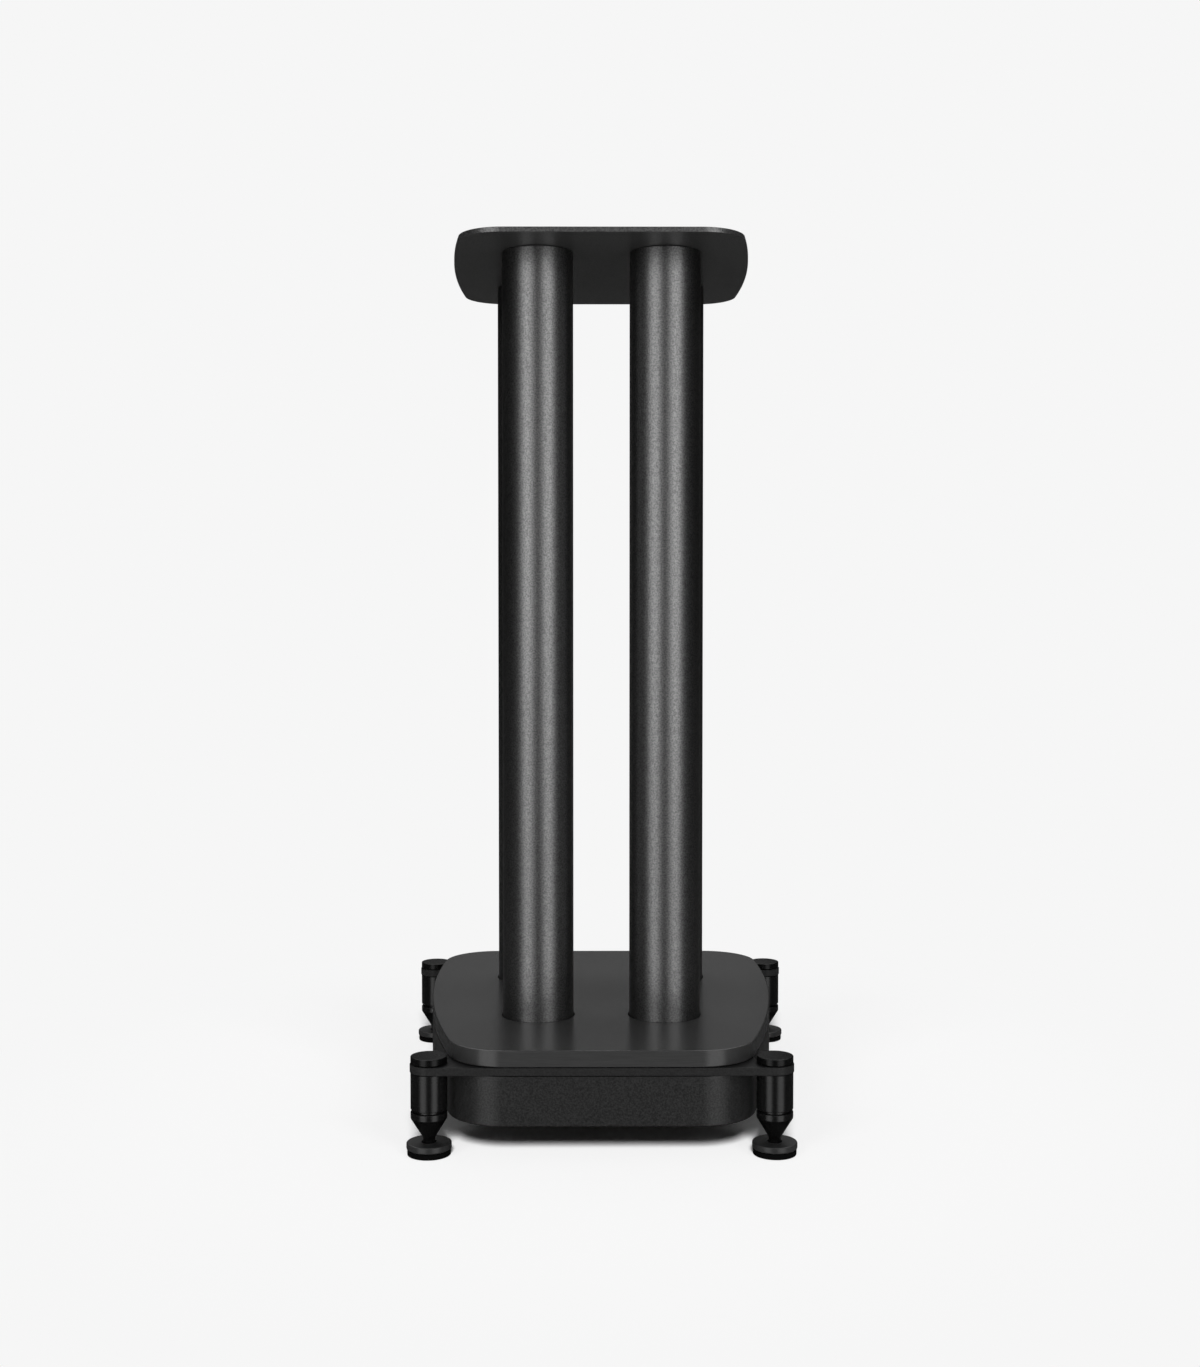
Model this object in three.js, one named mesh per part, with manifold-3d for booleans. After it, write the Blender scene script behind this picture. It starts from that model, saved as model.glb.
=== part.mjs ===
// Four-column loudspeaker stand with a two-deck plinth and four levelling feet.
// Millimetres, +Z up. The origin is on the floor, midway between the four feet.
// -Y is the narrow end of the boat-shaped plates, +Y the wide end.

import * as THREE from "three";
import { mergeVertices } from "three/addons/utils/BufferGeometryUtils.js";
import Module from "manifold-3d";

const wasm = await Module();
wasm.setup();

// ---------- driving dimensions ----------

const STAND_HEIGHT = 612; // floor to the top of the speaker plate

// Fits
const SEAT_GAP = 0.3; // between faces that rest on or are glued to each other
const THREAD_GAP = 0.3; // radial, between a screw and its tapped or drilled hole
const CUT_OVERRUN = 1; // how far a cutting tool passes the face it opens

// Speaker plate: a boat-shaped steel sheet
const TOP_PLATE = {
  halfLength: 123.5,
  widest: 218,
  widestAt: 44, // y of the widest section
  sideRadius: 850,
  frontCorner: 31,
  rearCorner: 30,
};
const TOP_PLATE_THICKNESS = 3.5;
const TOP_PLATE_EDGE = 0.4; // broken edge

// Plinth: a thick lower body and an upper deck with the same plan
const PLINTH_WIDEST = 258;
const PLINTH_WIDEST_AT = 67;
const PLINTH_SIDE_RADIUS = 750;
const PLINTH_FRONT_CORNER = 39;
const PLINTH_REAR_CORNER = 41;
const BODY_THICKNESS = 38.8;
const BODY_EDGE = 0.8;
const DECK_THICKNESS = 11;
const DECK_EDGE = 0.8;

// Outrigger bars, let into the two ends of the lower body
const BAR_WIDTH = 25.2;
const BAR_THICKNESS = 5.5;
const BAR_EDGE = 0.4;

// Feet
const FOOT_Y = 147.2; // half the distance between the front and rear feet
const FRONT_FOOT_REACH = 20.5; // from the plinth's side to the foot's axis
const REAR_FOOT_REACH = 21.9;
const STUD_RADIUS = 4; // M8
const CAP_RADIUS = 12.1;
const CAP_THICKNESS = 4.6;
const CAP_EDGE = 0.5;
const CAP_STUD_IN_BARREL = 8;
const BARREL_RADIUS = 12.1;
const BARREL_LENGTH = 24.2;
const BARREL_EDGE = 0.4;
const SPIKE_RADIUS = 12.1;
const SPIKE_NECK_RADIUS = 10;
const SPIKE_NECK_LENGTH = 1.5;
const SPIKE_RING_LENGTH = 4.2;
const SPIKE_RING_EDGE = 0.4;
const SPIKE_CONE_LENGTH = 13.2;
const SPIKE_PIN_RADIUS = 4;
const SPIKE_PIN_LENGTH = 4.6;
const SPIKE_PIN_DOME = 1.5; // height of the rounded end
const SPIKE_STUD_LENGTH = 16;
const SPIKE_STUD_CHAMFER = 0.6;

// Floor discs
const DISC_RADIUS = 14.9;
const DISC_THICKNESS = 4.3;
const DISC_EDGE = 0.6;
const DISH_RADIUS = 5;
const DISH_FLOOR_RADIUS = 4.4;
const DISH_DEPTH = 2;
const PAD_RADIUS = 14.3;
const PAD_THICKNESS = 3.5;
const PAD_EDGE = 0.3;

// Columns
const COLUMN_RADIUS = 25;
const COLUMN_WALL = 2;
const COLUMN_Y = 61; // half the distance between the front and rear pairs
const FRONT_COLUMN_X = 44.8;
const REAR_COLUMN_X = 54.8;
const COLUMN_SEAT_DEPTH = 12; // socket in the lower body
const COLUMN_HOLE_GAP = 0.8; // radial, in the deck
const COLUMN_SEAT_GAP = 0.4; // radial, in the lower body
const PLUG_THICKNESS = 14;

// Countersunk screws that hold the speaker plate to the columns
const PLATE_SCREW_RADIUS = 2.5; // M5
const PLATE_SCREW_HEAD_RADIUS = 5;
const PLATE_SCREW_LENGTH = 14;
const PLATE_SCREW_RIM = 0.3; // straight rim over the cone
const PLATE_SCREW_SINK = 0.1; // head below the plate's face
const PLATE_SCREW_SOCKET = 3; // across flats
const PLATE_SCREW_SOCKET_DEPTH = 1.9;

// Socket head bolts that hold the columns down, in pockets under the lower body
const COLUMN_BOLT_RADIUS = 4; // M8
const COLUMN_BOLT_HEAD_RADIUS = 6.5;
const COLUMN_BOLT_HEAD_HEIGHT = 8;
const COLUMN_BOLT_SOCKET = 6;
const COLUMN_BOLT_POCKET_RADIUS = 11;
const COLUMN_BOLT_POCKET_DEPTH = 13;
const COLUMN_BOLT_IN_PLUG = 11;
const WASHER_RADIUS = 9;
const WASHER_THICKNESS = 1.6;

// Socket head screws that clamp body, bar and deck together
const CLAMP_SCREW_RADIUS = 3; // M6
const CLAMP_SCREW_HEAD_RADIUS = 5;
const CLAMP_SCREW_HEAD_HEIGHT = 6;
const CLAMP_SCREW_SOCKET = 5;
const CLAMP_SCREW_POCKET_RADIUS = 6.2;
const CLAMP_SCREW_POCKET_DEPTH = 11;
const CLAMP_SCREW_IN_DECK = 7;
const CLAMP_SCREW_TIP_GAP = 1;
const CLAMP_SCREW_X = 62;

// Facets on a full turn
const COLUMN_SEGMENTS = 36;
const FOOT_SEGMENTS = 24;
const PLUG_SEGMENTS = 18;
const HARDWARE_SEGMENTS = 12;
const DOME_STEPS = 2;
const ARC_STEPS = 5; // half the facets on each arc of a plate

// ---------- sizes that follow ----------

// The feet stack up from the floor, and the plinth hangs on them.
const discBottomZ = PAD_THICKNESS + SEAT_GAP;
const discTopZ = discBottomZ + DISC_THICKNESS;
const spikeTipZ = discTopZ - DISH_DEPTH + SEAT_GAP;
const spikePinTopZ = spikeTipZ + SPIKE_PIN_LENGTH;
const spikeConeTopZ = spikePinTopZ + SPIKE_CONE_LENGTH;
const spikeRingTopZ = spikeConeTopZ + SPIKE_RING_LENGTH;
const spikeShoulderZ = spikeRingTopZ + SPIKE_NECK_LENGTH;
const barrelBottomZ = spikeShoulderZ + SEAT_GAP;
const barrelTopZ = barrelBottomZ + BARREL_LENGTH;
const barBottomZ = barrelTopZ + SEAT_GAP;

const bodyTopZ = barBottomZ + BAR_THICKNESS;
const bodyBottomZ = bodyTopZ - BODY_THICKNESS;
const capBottomZ = bodyTopZ + SEAT_GAP;
const deckBottomZ = bodyTopZ + SEAT_GAP;
const deckTopZ = deckBottomZ + DECK_THICKNESS;
const topPlateBottomZ = STAND_HEIGHT - TOP_PLATE_THICKNESS;

const socketFloorZ = bodyTopZ - COLUMN_SEAT_DEPTH;
const columnBottomZ = socketFloorZ + SEAT_GAP;
const columnTopZ = topPlateBottomZ - SEAT_GAP;
const columnBoreRadius = COLUMN_RADIUS - COLUMN_WALL;

const boltPocketTopZ = bodyBottomZ + COLUMN_BOLT_POCKET_DEPTH;
const clampPocketTopZ = bodyBottomZ + CLAMP_SCREW_POCKET_DEPTH;

const plinthPlan = {
  halfLength: FOOT_Y + BAR_WIDTH / 2, // the bars lie flush with both ends
  widest: PLINTH_WIDEST,
  widestAt: PLINTH_WIDEST_AT,
  sideRadius: PLINTH_SIDE_RADIUS,
  frontCorner: PLINTH_FRONT_CORNER,
  rearCorner: PLINTH_REAR_CORNER,
};

const CORNERS = [
  { name: "front_left", end: -1, side: -1 },
  { name: "front_right", end: -1, side: 1 },
  { name: "rear_left", end: 1, side: -1 },
  { name: "rear_right", end: 1, side: 1 },
];

// A rounded corner of a boat-shaped plan: its centre, and the angle at which
// it meets the long side arc.
function boatCorner(plan, end) {
  const { halfLength, widest, widestAt, sideRadius } = plan;
  const radius = end < 0 ? plan.frontCorner : plan.rearCorner;
  const sideCentreX = widest / 2 - sideRadius;
  const y = end * (halfLength - radius);
  const reach = Math.sqrt((sideRadius - radius) ** 2 - (y - widestAt) ** 2);
  const tangent = Math.atan2(y - widestAt, reach);
  return { x: sideCentreX + reach, y, radius, tangent };
}

// Each foot stands a fixed reach outside the plinth's rounded corner.
function footX(end) {
  const corner = boatCorner(plinthPlan, end);
  const rise = FOOT_Y - Math.abs(corner.y);
  const plinthSideX = corner.x + Math.sqrt(corner.radius ** 2 - rise ** 2);
  return plinthSideX + (end < 0 ? FRONT_FOOT_REACH : REAR_FOOT_REACH);
}

function footPlace({ end, side }) {
  return new THREE.Vector2(side * footX(end), end * FOOT_Y);
}

function columnPlace({ end, side }) {
  const x = end < 0 ? FRONT_COLUMN_X : REAR_COLUMN_X;
  return new THREE.Vector2(side * x, end * COLUMN_Y);
}

function clampScrewPlace({ end, side }) {
  return new THREE.Vector2(side * CLAMP_SCREW_X, end * FOOT_Y);
}

// ---------- materials ----------

const finishes = {
  satinSteel: { color: 0x262626, roughness: 0.45, metalness: 0.4 },
  texturedColumn: { color: 0x2b2b2b, roughness: 0.5, metalness: 0.35 },
  satinDeck: { color: 0x3c3c3c, roughness: 0.42, metalness: 0.3 },
  texturedBody: { color: 0x262626, roughness: 0.7, metalness: 0.0 },
  satinBar: { color: 0x1f1f1f, roughness: 0.5, metalness: 0.4 },
  glossFoot: { color: 0x0e0e0e, roughness: 0.28, metalness: 0.5 },
  satinDisc: { color: 0x2a2a2a, roughness: 0.4, metalness: 0.5 },
  blackRubber: { color: 0x060606, roughness: 0.9, metalness: 0.0 },
  zincSteel: { color: 0x9a9a98, roughness: 0.35, metalness: 0.9 },
  blackSteel: { color: 0x18181a, roughness: 0.4, metalness: 0.8 },
};

function mesh(name, geometry, finish) {
  const made = new THREE.Mesh(geometry, new THREE.MeshStandardMaterial(finish));
  made.name = name;
  return made;
}

// ---------- solids ----------

function toSolid(geometry) {
  const bare = geometry.clone();
  bare.deleteAttribute("normal");
  bare.deleteAttribute("uv");
  const merged = mergeVertices(bare, 1e-4);
  return new wasm.Manifold(
    new wasm.Mesh({
      numProp: 3,
      vertProperties: new Float32Array(merged.attributes.position.array),
      triVerts: new Uint32Array(merged.index.array),
    }),
  );
}

function toGeometry(solid) {
  const made = solid.getMesh();
  const geometry = new THREE.BufferGeometry();
  geometry.setAttribute(
    "position",
    new THREE.BufferAttribute(made.vertProperties, 3),
  );
  geometry.setIndex(new THREE.BufferAttribute(made.triVerts, 1));
  const faceted = geometry.toNonIndexed();
  faceted.computeVertexNormals();
  return faceted;
}

function cut(geometry, tools) {
  const solid = tools.reduce(
    (left, tool) => left.subtract(toSolid(tool)),
    toSolid(geometry),
  );
  return toGeometry(solid);
}

// A turned piece: [radius, z] points, from the lowest on the axis up the outside.
function turned(profile, segments) {
  const points = profile.map(([radius, z]) => new THREE.Vector2(radius, z));
  return new THREE.LatheGeometry(points, segments).rotateX(Math.PI / 2);
}

// A turned ring: the same, with a bore, closed on itself.
function turnedRing(profile, segments) {
  return turned([...profile, profile[0]], segments);
}

function rod(radius, lowZ, highZ, segments) {
  return turned(
    [
      [0, lowZ],
      [radius, lowZ],
      [radius, highZ],
      [0, highZ],
    ],
    segments,
  );
}

function hexSocket(acrossFlats, lowZ, highZ) {
  const cornerRadius = acrossFlats / Math.sqrt(3);
  return rod(cornerRadius, lowZ, highZ, 6);
}

function at(place, geometry) {
  return geometry.translate(place.x, place.y, 0);
}

// A plate with broken edges: its outline keeps its full size between them.
function plate(shape, lowZ, thickness, edge) {
  const geometry = new THREE.ExtrudeGeometry(shape, {
    depth: thickness - 2 * edge,
    bevelThickness: edge,
    bevelSize: edge,
    bevelOffset: -edge,
    bevelSegments: 1,
    curveSegments: ARC_STEPS,
  });
  return geometry.translate(0, 0, lowZ + edge);
}

// The boat-shaped plan: straight ends, long side arcs and tangent corner arcs.
function boatShape(plan) {
  const { halfLength, widest, widestAt, sideRadius } = plan;
  const sideCentreX = widest / 2 - sideRadius;
  const front = boatCorner(plan, -1);
  const rear = boatCorner(plan, 1);
  const quarter = Math.PI / 2;
  const shape = new THREE.Shape();
  shape.moveTo(-front.x, -halfLength);
  shape.absarc(front.x, front.y, front.radius, -quarter, front.tangent);
  shape.absarc(sideCentreX, widestAt, sideRadius, front.tangent, rear.tangent);
  shape.absarc(rear.x, rear.y, rear.radius, rear.tangent, quarter);
  shape.absarc(-rear.x, rear.y, rear.radius, quarter, Math.PI - rear.tangent);
  shape.absarc(
    -sideCentreX,
    widestAt,
    sideRadius,
    Math.PI - rear.tangent,
    Math.PI - front.tangent,
  );
  shape.absarc(
    -front.x,
    front.y,
    front.radius,
    Math.PI - front.tangent,
    3 * quarter,
  );
  return shape;
}

// ---------- speaker plate and its screws ----------

function plateScrewHead(grow) {
  const faceZ = STAND_HEIGHT - PLATE_SCREW_SINK;
  const headRadius = PLATE_SCREW_HEAD_RADIUS + grow;
  const shankRadius = PLATE_SCREW_RADIUS + grow;
  const coneTopZ = faceZ - PLATE_SCREW_RIM;
  const coneBottomZ = coneTopZ - (headRadius - shankRadius);
  return { faceZ, headRadius, shankRadius, coneTopZ, coneBottomZ };
}

function countersink() {
  const head = plateScrewHead(THREAD_GAP);
  const openZ = STAND_HEIGHT + CUT_OVERRUN;
  return turned(
    [
      [0, topPlateBottomZ - CUT_OVERRUN],
      [head.shankRadius, topPlateBottomZ - CUT_OVERRUN],
      [head.shankRadius, head.coneBottomZ],
      [head.headRadius, head.coneTopZ],
      [head.headRadius, openZ],
      [0, openZ],
    ],
    HARDWARE_SEGMENTS,
  );
}

function topPlate() {
  const sheet = plate(
    boatShape(TOP_PLATE),
    topPlateBottomZ,
    TOP_PLATE_THICKNESS,
    TOP_PLATE_EDGE,
  );
  const sinks = CORNERS.map((corner) => at(columnPlace(corner), countersink()));
  return mesh("top_plate", cut(sheet, sinks), finishes.satinSteel);
}

function plateScrew(corner) {
  const head = plateScrewHead(0);
  const tipZ = head.faceZ - PLATE_SCREW_LENGTH;
  const blank = turned(
    [
      [0, tipZ],
      [head.shankRadius, tipZ],
      [head.shankRadius, head.coneBottomZ],
      [head.headRadius, head.coneTopZ],
      [head.headRadius, head.faceZ],
      [0, head.faceZ],
    ],
    HARDWARE_SEGMENTS,
  );
  const socket = hexSocket(
    PLATE_SCREW_SOCKET,
    head.faceZ - PLATE_SCREW_SOCKET_DEPTH,
    head.faceZ + CUT_OVERRUN,
  );
  const geometry = at(columnPlace(corner), cut(blank, [socket]));
  return mesh(`plate_screw_${corner.name}`, geometry, finishes.blackSteel);
}

// ---------- columns ----------

function column(corner) {
  const geometry = turnedRing(
    [
      [columnBoreRadius, columnBottomZ],
      [COLUMN_RADIUS, columnBottomZ],
      [COLUMN_RADIUS, columnTopZ],
      [columnBoreRadius, columnTopZ],
    ],
    COLUMN_SEGMENTS,
  );
  const placed = at(columnPlace(corner), geometry);
  return mesh(`column_${corner.name}`, placed, finishes.texturedColumn);
}

// A steel plug pressed into a column end and tapped through for one screw.
function plug(lowZ, screwRadius) {
  const radius = columnBoreRadius - THREAD_GAP;
  const boreRadius = screwRadius + THREAD_GAP;
  const highZ = lowZ + PLUG_THICKNESS;
  return turnedRing(
    [
      [boreRadius, lowZ],
      [radius, lowZ],
      [radius, highZ],
      [boreRadius, highZ],
    ],
    PLUG_SEGMENTS,
  );
}

function columnTopPlug(corner) {
  const made = plug(columnTopZ - PLUG_THICKNESS, PLATE_SCREW_RADIUS);
  const placed = at(columnPlace(corner), made);
  return mesh(`column_top_plug_${corner.name}`, placed, finishes.zincSteel);
}

function columnBasePlug(corner) {
  const made = plug(columnBottomZ, COLUMN_BOLT_RADIUS);
  const placed = at(columnPlace(corner), made);
  return mesh(`column_base_plug_${corner.name}`, placed, finishes.zincSteel);
}

// A socket head screw that points up: headTopZ is the face that bears.
function socketHeadScrew({ radius, headRadius, headHeight, socket, headTopZ, tipZ }) {
  const headBottomZ = headTopZ - headHeight;
  const blank = turned(
    [
      [0, headBottomZ],
      [headRadius, headBottomZ],
      [headRadius, headTopZ],
      [radius, headTopZ],
      [radius, tipZ],
      [0, tipZ],
    ],
    HARDWARE_SEGMENTS,
  );
  const hex = hexSocket(
    socket,
    headBottomZ - CUT_OVERRUN,
    headBottomZ + headHeight / 2,
  );
  return cut(blank, [hex]);
}

function washer(corner) {
  const highZ = boltPocketTopZ - SEAT_GAP;
  const lowZ = highZ - WASHER_THICKNESS;
  const boreRadius = COLUMN_BOLT_RADIUS + THREAD_GAP;
  const ring = turnedRing(
    [
      [boreRadius, lowZ],
      [WASHER_RADIUS, lowZ],
      [WASHER_RADIUS, highZ],
      [boreRadius, highZ],
    ],
    HARDWARE_SEGMENTS,
  );
  const placed = at(columnPlace(corner), ring);
  return mesh(`column_bolt_washer_${corner.name}`, placed, finishes.zincSteel);
}

function columnBolt(corner) {
  const bolt = socketHeadScrew({
    radius: COLUMN_BOLT_RADIUS,
    headRadius: COLUMN_BOLT_HEAD_RADIUS,
    headHeight: COLUMN_BOLT_HEAD_HEIGHT,
    socket: COLUMN_BOLT_SOCKET,
    headTopZ: boltPocketTopZ - WASHER_THICKNESS - 2 * SEAT_GAP,
    tipZ: columnBottomZ + COLUMN_BOLT_IN_PLUG,
  });
  const placed = at(columnPlace(corner), bolt);
  return mesh(`column_bolt_${corner.name}`, placed, finishes.blackSteel);
}

// ---------- plinth ----------

function lowerBody() {
  const block = plate(
    boatShape(plinthPlan),
    bodyBottomZ,
    BODY_THICKNESS,
    BODY_EDGE,
  );
  const tools = CORNERS.flatMap((corner) => {
    const columnAt = columnPlace(corner);
    const screwAt = clampScrewPlace(corner);
    const openTopZ = bodyTopZ + CUT_OVERRUN;
    const openBottomZ = bodyBottomZ - CUT_OVERRUN;
    const socket = rod(
      COLUMN_RADIUS + COLUMN_SEAT_GAP,
      socketFloorZ,
      openTopZ,
      COLUMN_SEGMENTS,
    );
    const boltHole = rod(
      COLUMN_BOLT_RADIUS + THREAD_GAP,
      openBottomZ,
      openTopZ,
      HARDWARE_SEGMENTS,
    );
    const boltPocket = rod(
      COLUMN_BOLT_POCKET_RADIUS,
      openBottomZ,
      boltPocketTopZ,
      FOOT_SEGMENTS,
    );
    const screwHole = rod(
      CLAMP_SCREW_RADIUS + THREAD_GAP,
      openBottomZ,
      openTopZ,
      HARDWARE_SEGMENTS,
    );
    const screwPocket = rod(
      CLAMP_SCREW_POCKET_RADIUS,
      openBottomZ,
      clampPocketTopZ,
      HARDWARE_SEGMENTS,
    );
    return [
      at(columnAt, socket),
      at(columnAt, boltHole),
      at(columnAt, boltPocket),
      at(screwAt, screwHole),
      at(screwAt, screwPocket),
    ];
  });
  return mesh(
    "plinth_body",
    cut(block, [...tools, barRebate(-1), barRebate(1)]),
    finishes.texturedBody,
  );
}

// The open-ended rebate in one end of the lower body that a bar lies in.
function barRebate(end) {
  const depth = BAR_WIDTH + SEAT_GAP + CUT_OVERRUN;
  const height = BAR_THICKNESS + SEAT_GAP + CUT_OVERRUN;
  const tool = new THREE.BoxGeometry(2 * PLINTH_WIDEST, depth, height);
  const y = end * (plinthPlan.halfLength + CUT_OVERRUN - depth / 2);
  const z = bodyTopZ + CUT_OVERRUN - height / 2;
  return tool.translate(0, y, z);
}

function deck() {
  const board = plate(
    boatShape(plinthPlan),
    deckBottomZ,
    DECK_THICKNESS,
    DECK_EDGE,
  );
  const tools = CORNERS.flatMap((corner) => {
    const columnHole = rod(
      COLUMN_RADIUS + COLUMN_HOLE_GAP,
      deckBottomZ - CUT_OVERRUN,
      deckTopZ + CUT_OVERRUN,
      COLUMN_SEGMENTS,
    );
    const tappedHole = rod(
      CLAMP_SCREW_RADIUS + THREAD_GAP,
      deckBottomZ - CUT_OVERRUN,
      deckBottomZ + CLAMP_SCREW_IN_DECK + CLAMP_SCREW_TIP_GAP,
      HARDWARE_SEGMENTS,
    );
    return [
      at(columnPlace(corner), columnHole),
      at(clampScrewPlace(corner), tappedHole),
    ];
  });
  return mesh("plinth_deck", cut(board, tools), finishes.satinDeck);
}

function clampScrew(corner) {
  const screw = socketHeadScrew({
    radius: CLAMP_SCREW_RADIUS,
    headRadius: CLAMP_SCREW_HEAD_RADIUS,
    headHeight: CLAMP_SCREW_HEAD_HEIGHT,
    socket: CLAMP_SCREW_SOCKET,
    headTopZ: clampPocketTopZ - SEAT_GAP,
    tipZ: deckBottomZ + CLAMP_SCREW_IN_DECK,
  });
  const placed = at(clampScrewPlace(corner), screw);
  return mesh(`plinth_screw_${corner.name}`, placed, finishes.blackSteel);
}

// A flat bar with round ends about the two feet that it carries.
function outriggerBar(end, name) {
  const radius = BAR_WIDTH / 2;
  const reach = footX(end);
  const y = end * FOOT_Y;
  const quarter = Math.PI / 2;
  const shape = new THREE.Shape();
  shape.moveTo(-reach, y - radius);
  shape.absarc(reach, y, radius, -quarter, quarter);
  shape.absarc(-reach, y, radius, quarter, 3 * quarter);
  const bar = plate(shape, barBottomZ, BAR_THICKNESS, BAR_EDGE);
  const drill = (screwRadius, x) =>
    rod(
      screwRadius + THREAD_GAP,
      barBottomZ - CUT_OVERRUN,
      bodyTopZ + CUT_OVERRUN,
      HARDWARE_SEGMENTS,
    ).translate(x, y, 0);
  const holes = [-1, 1].flatMap((side) => [
    drill(STUD_RADIUS, side * reach),
    drill(CLAMP_SCREW_RADIUS, side * CLAMP_SCREW_X),
  ]);
  return mesh(name, cut(bar, holes), finishes.satinBar);
}

// ---------- levelling feet ----------

// The cap and its stud, which passes through the bar into the barrel.
function footCap(corner) {
  const topZ = capBottomZ + CAP_THICKNESS;
  const studEndZ = barrelTopZ - CAP_STUD_IN_BARREL;
  const geometry = turned(
    [
      [0, studEndZ],
      [STUD_RADIUS, studEndZ],
      [STUD_RADIUS, capBottomZ],
      [CAP_RADIUS, capBottomZ],
      [CAP_RADIUS, topZ - CAP_EDGE],
      [CAP_RADIUS - CAP_EDGE, topZ],
      [0, topZ],
    ],
    FOOT_SEGMENTS,
  );
  const placed = at(footPlace(corner), geometry);
  return mesh(`foot_cap_${corner.name}`, placed, finishes.glossFoot);
}

// A tapped barrel that the cap's stud and the spike's stud screw into.
function footBarrel(corner) {
  const boreRadius = STUD_RADIUS + THREAD_GAP;
  const geometry = turnedRing(
    [
      [boreRadius, barrelBottomZ],
      [BARREL_RADIUS - BARREL_EDGE, barrelBottomZ],
      [BARREL_RADIUS, barrelBottomZ + BARREL_EDGE],
      [BARREL_RADIUS, barrelTopZ - BARREL_EDGE],
      [BARREL_RADIUS - BARREL_EDGE, barrelTopZ],
      [boreRadius, barrelTopZ],
    ],
    FOOT_SEGMENTS,
  );
  const placed = at(footPlace(corner), geometry);
  return mesh(`foot_barrel_${corner.name}`, placed, finishes.glossFoot);
}

// The turned lower part: pin, cone, ring, neck and stud in one piece.
function footSpike(corner) {
  const studTopZ = spikeShoulderZ + SPIKE_STUD_LENGTH;
  const dome = Array.from({ length: DOME_STEPS + 1 }, (_, step) => {
    const angle = ((step / DOME_STEPS) * Math.PI) / 2;
    const radius = SPIKE_PIN_RADIUS * Math.sin(angle);
    const z = spikeTipZ + SPIKE_PIN_DOME * (1 - Math.cos(angle));
    return [radius, z];
  });
  const geometry = turned(
    [
      ...dome,
      [SPIKE_PIN_RADIUS, spikePinTopZ],
      [SPIKE_RADIUS, spikeConeTopZ],
      [SPIKE_RADIUS, spikeRingTopZ - SPIKE_RING_EDGE],
      [SPIKE_RADIUS - SPIKE_RING_EDGE, spikeRingTopZ],
      [SPIKE_NECK_RADIUS, spikeRingTopZ],
      [SPIKE_NECK_RADIUS, spikeShoulderZ],
      [STUD_RADIUS, spikeShoulderZ],
      [STUD_RADIUS, studTopZ - SPIKE_STUD_CHAMFER],
      [STUD_RADIUS - SPIKE_STUD_CHAMFER, studTopZ],
      [0, studTopZ],
    ],
    FOOT_SEGMENTS,
  );
  const placed = at(footPlace(corner), geometry);
  return mesh(`foot_spike_${corner.name}`, placed, finishes.glossFoot);
}

// The dished disc that protects the floor from the spike.
function floorDisc(corner) {
  const dishFloorZ = discTopZ - DISH_DEPTH;
  const geometry = turned(
    [
      [0, discBottomZ],
      [DISC_RADIUS, discBottomZ],
      [DISC_RADIUS, discTopZ - DISC_EDGE],
      [DISC_RADIUS - DISC_EDGE, discTopZ],
      [DISH_RADIUS, discTopZ],
      [DISH_FLOOR_RADIUS, dishFloorZ],
      [0, dishFloorZ],
    ],
    FOOT_SEGMENTS,
  );
  const placed = at(footPlace(corner), geometry);
  return mesh(`floor_disc_${corner.name}`, placed, finishes.satinDisc);
}

function floorPad(corner) {
  const geometry = turned(
    [
      [0, 0],
      [PAD_RADIUS - PAD_EDGE, 0],
      [PAD_RADIUS, PAD_EDGE],
      [PAD_RADIUS, PAD_THICKNESS],
      [0, PAD_THICKNESS],
    ],
    FOOT_SEGMENTS,
  );
  const placed = at(footPlace(corner), geometry);
  return mesh(`floor_pad_${corner.name}`, placed, finishes.blackRubber);
}

// ---------- assembly ----------

const stand = new THREE.Group();

const speakerPlatform = new THREE.Group();
speakerPlatform.add(topPlate());
CORNERS.forEach((corner) => speakerPlatform.add(plateScrew(corner)));
stand.add(speakerPlatform);

CORNERS.forEach((corner) => {
  const columnSet = new THREE.Group();
  columnSet.add(
    column(corner),
    columnTopPlug(corner),
    columnBasePlug(corner),
    washer(corner),
    columnBolt(corner),
  );
  stand.add(columnSet);
});

const plinth = new THREE.Group();
plinth.add(lowerBody(), deck());
plinth.add(outriggerBar(-1, "outrigger_bar_front"));
plinth.add(outriggerBar(1, "outrigger_bar_rear"));
CORNERS.forEach((corner) => plinth.add(clampScrew(corner)));
stand.add(plinth);

CORNERS.forEach((corner) => {
  const foot = new THREE.Group();
  foot.add(
    footCap(corner),
    footBarrel(corner),
    footSpike(corner),
    floorDisc(corner),
    floorPad(corner),
  );
  stand.add(foot);
});

export default stand;
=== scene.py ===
"""The finished look of a four-column loudspeaker stand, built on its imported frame.

Each piece is turned, extruded or cut in millimetres on a Blank, then set down in metres in
the place of the frame node that it stands for.
"""

import logging
import math
from dataclasses import dataclass, field
from enum import Enum
from typing import Callable, ClassVar, Sequence

import bmesh
import bpy
from mathutils import Matrix, Vector


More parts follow.
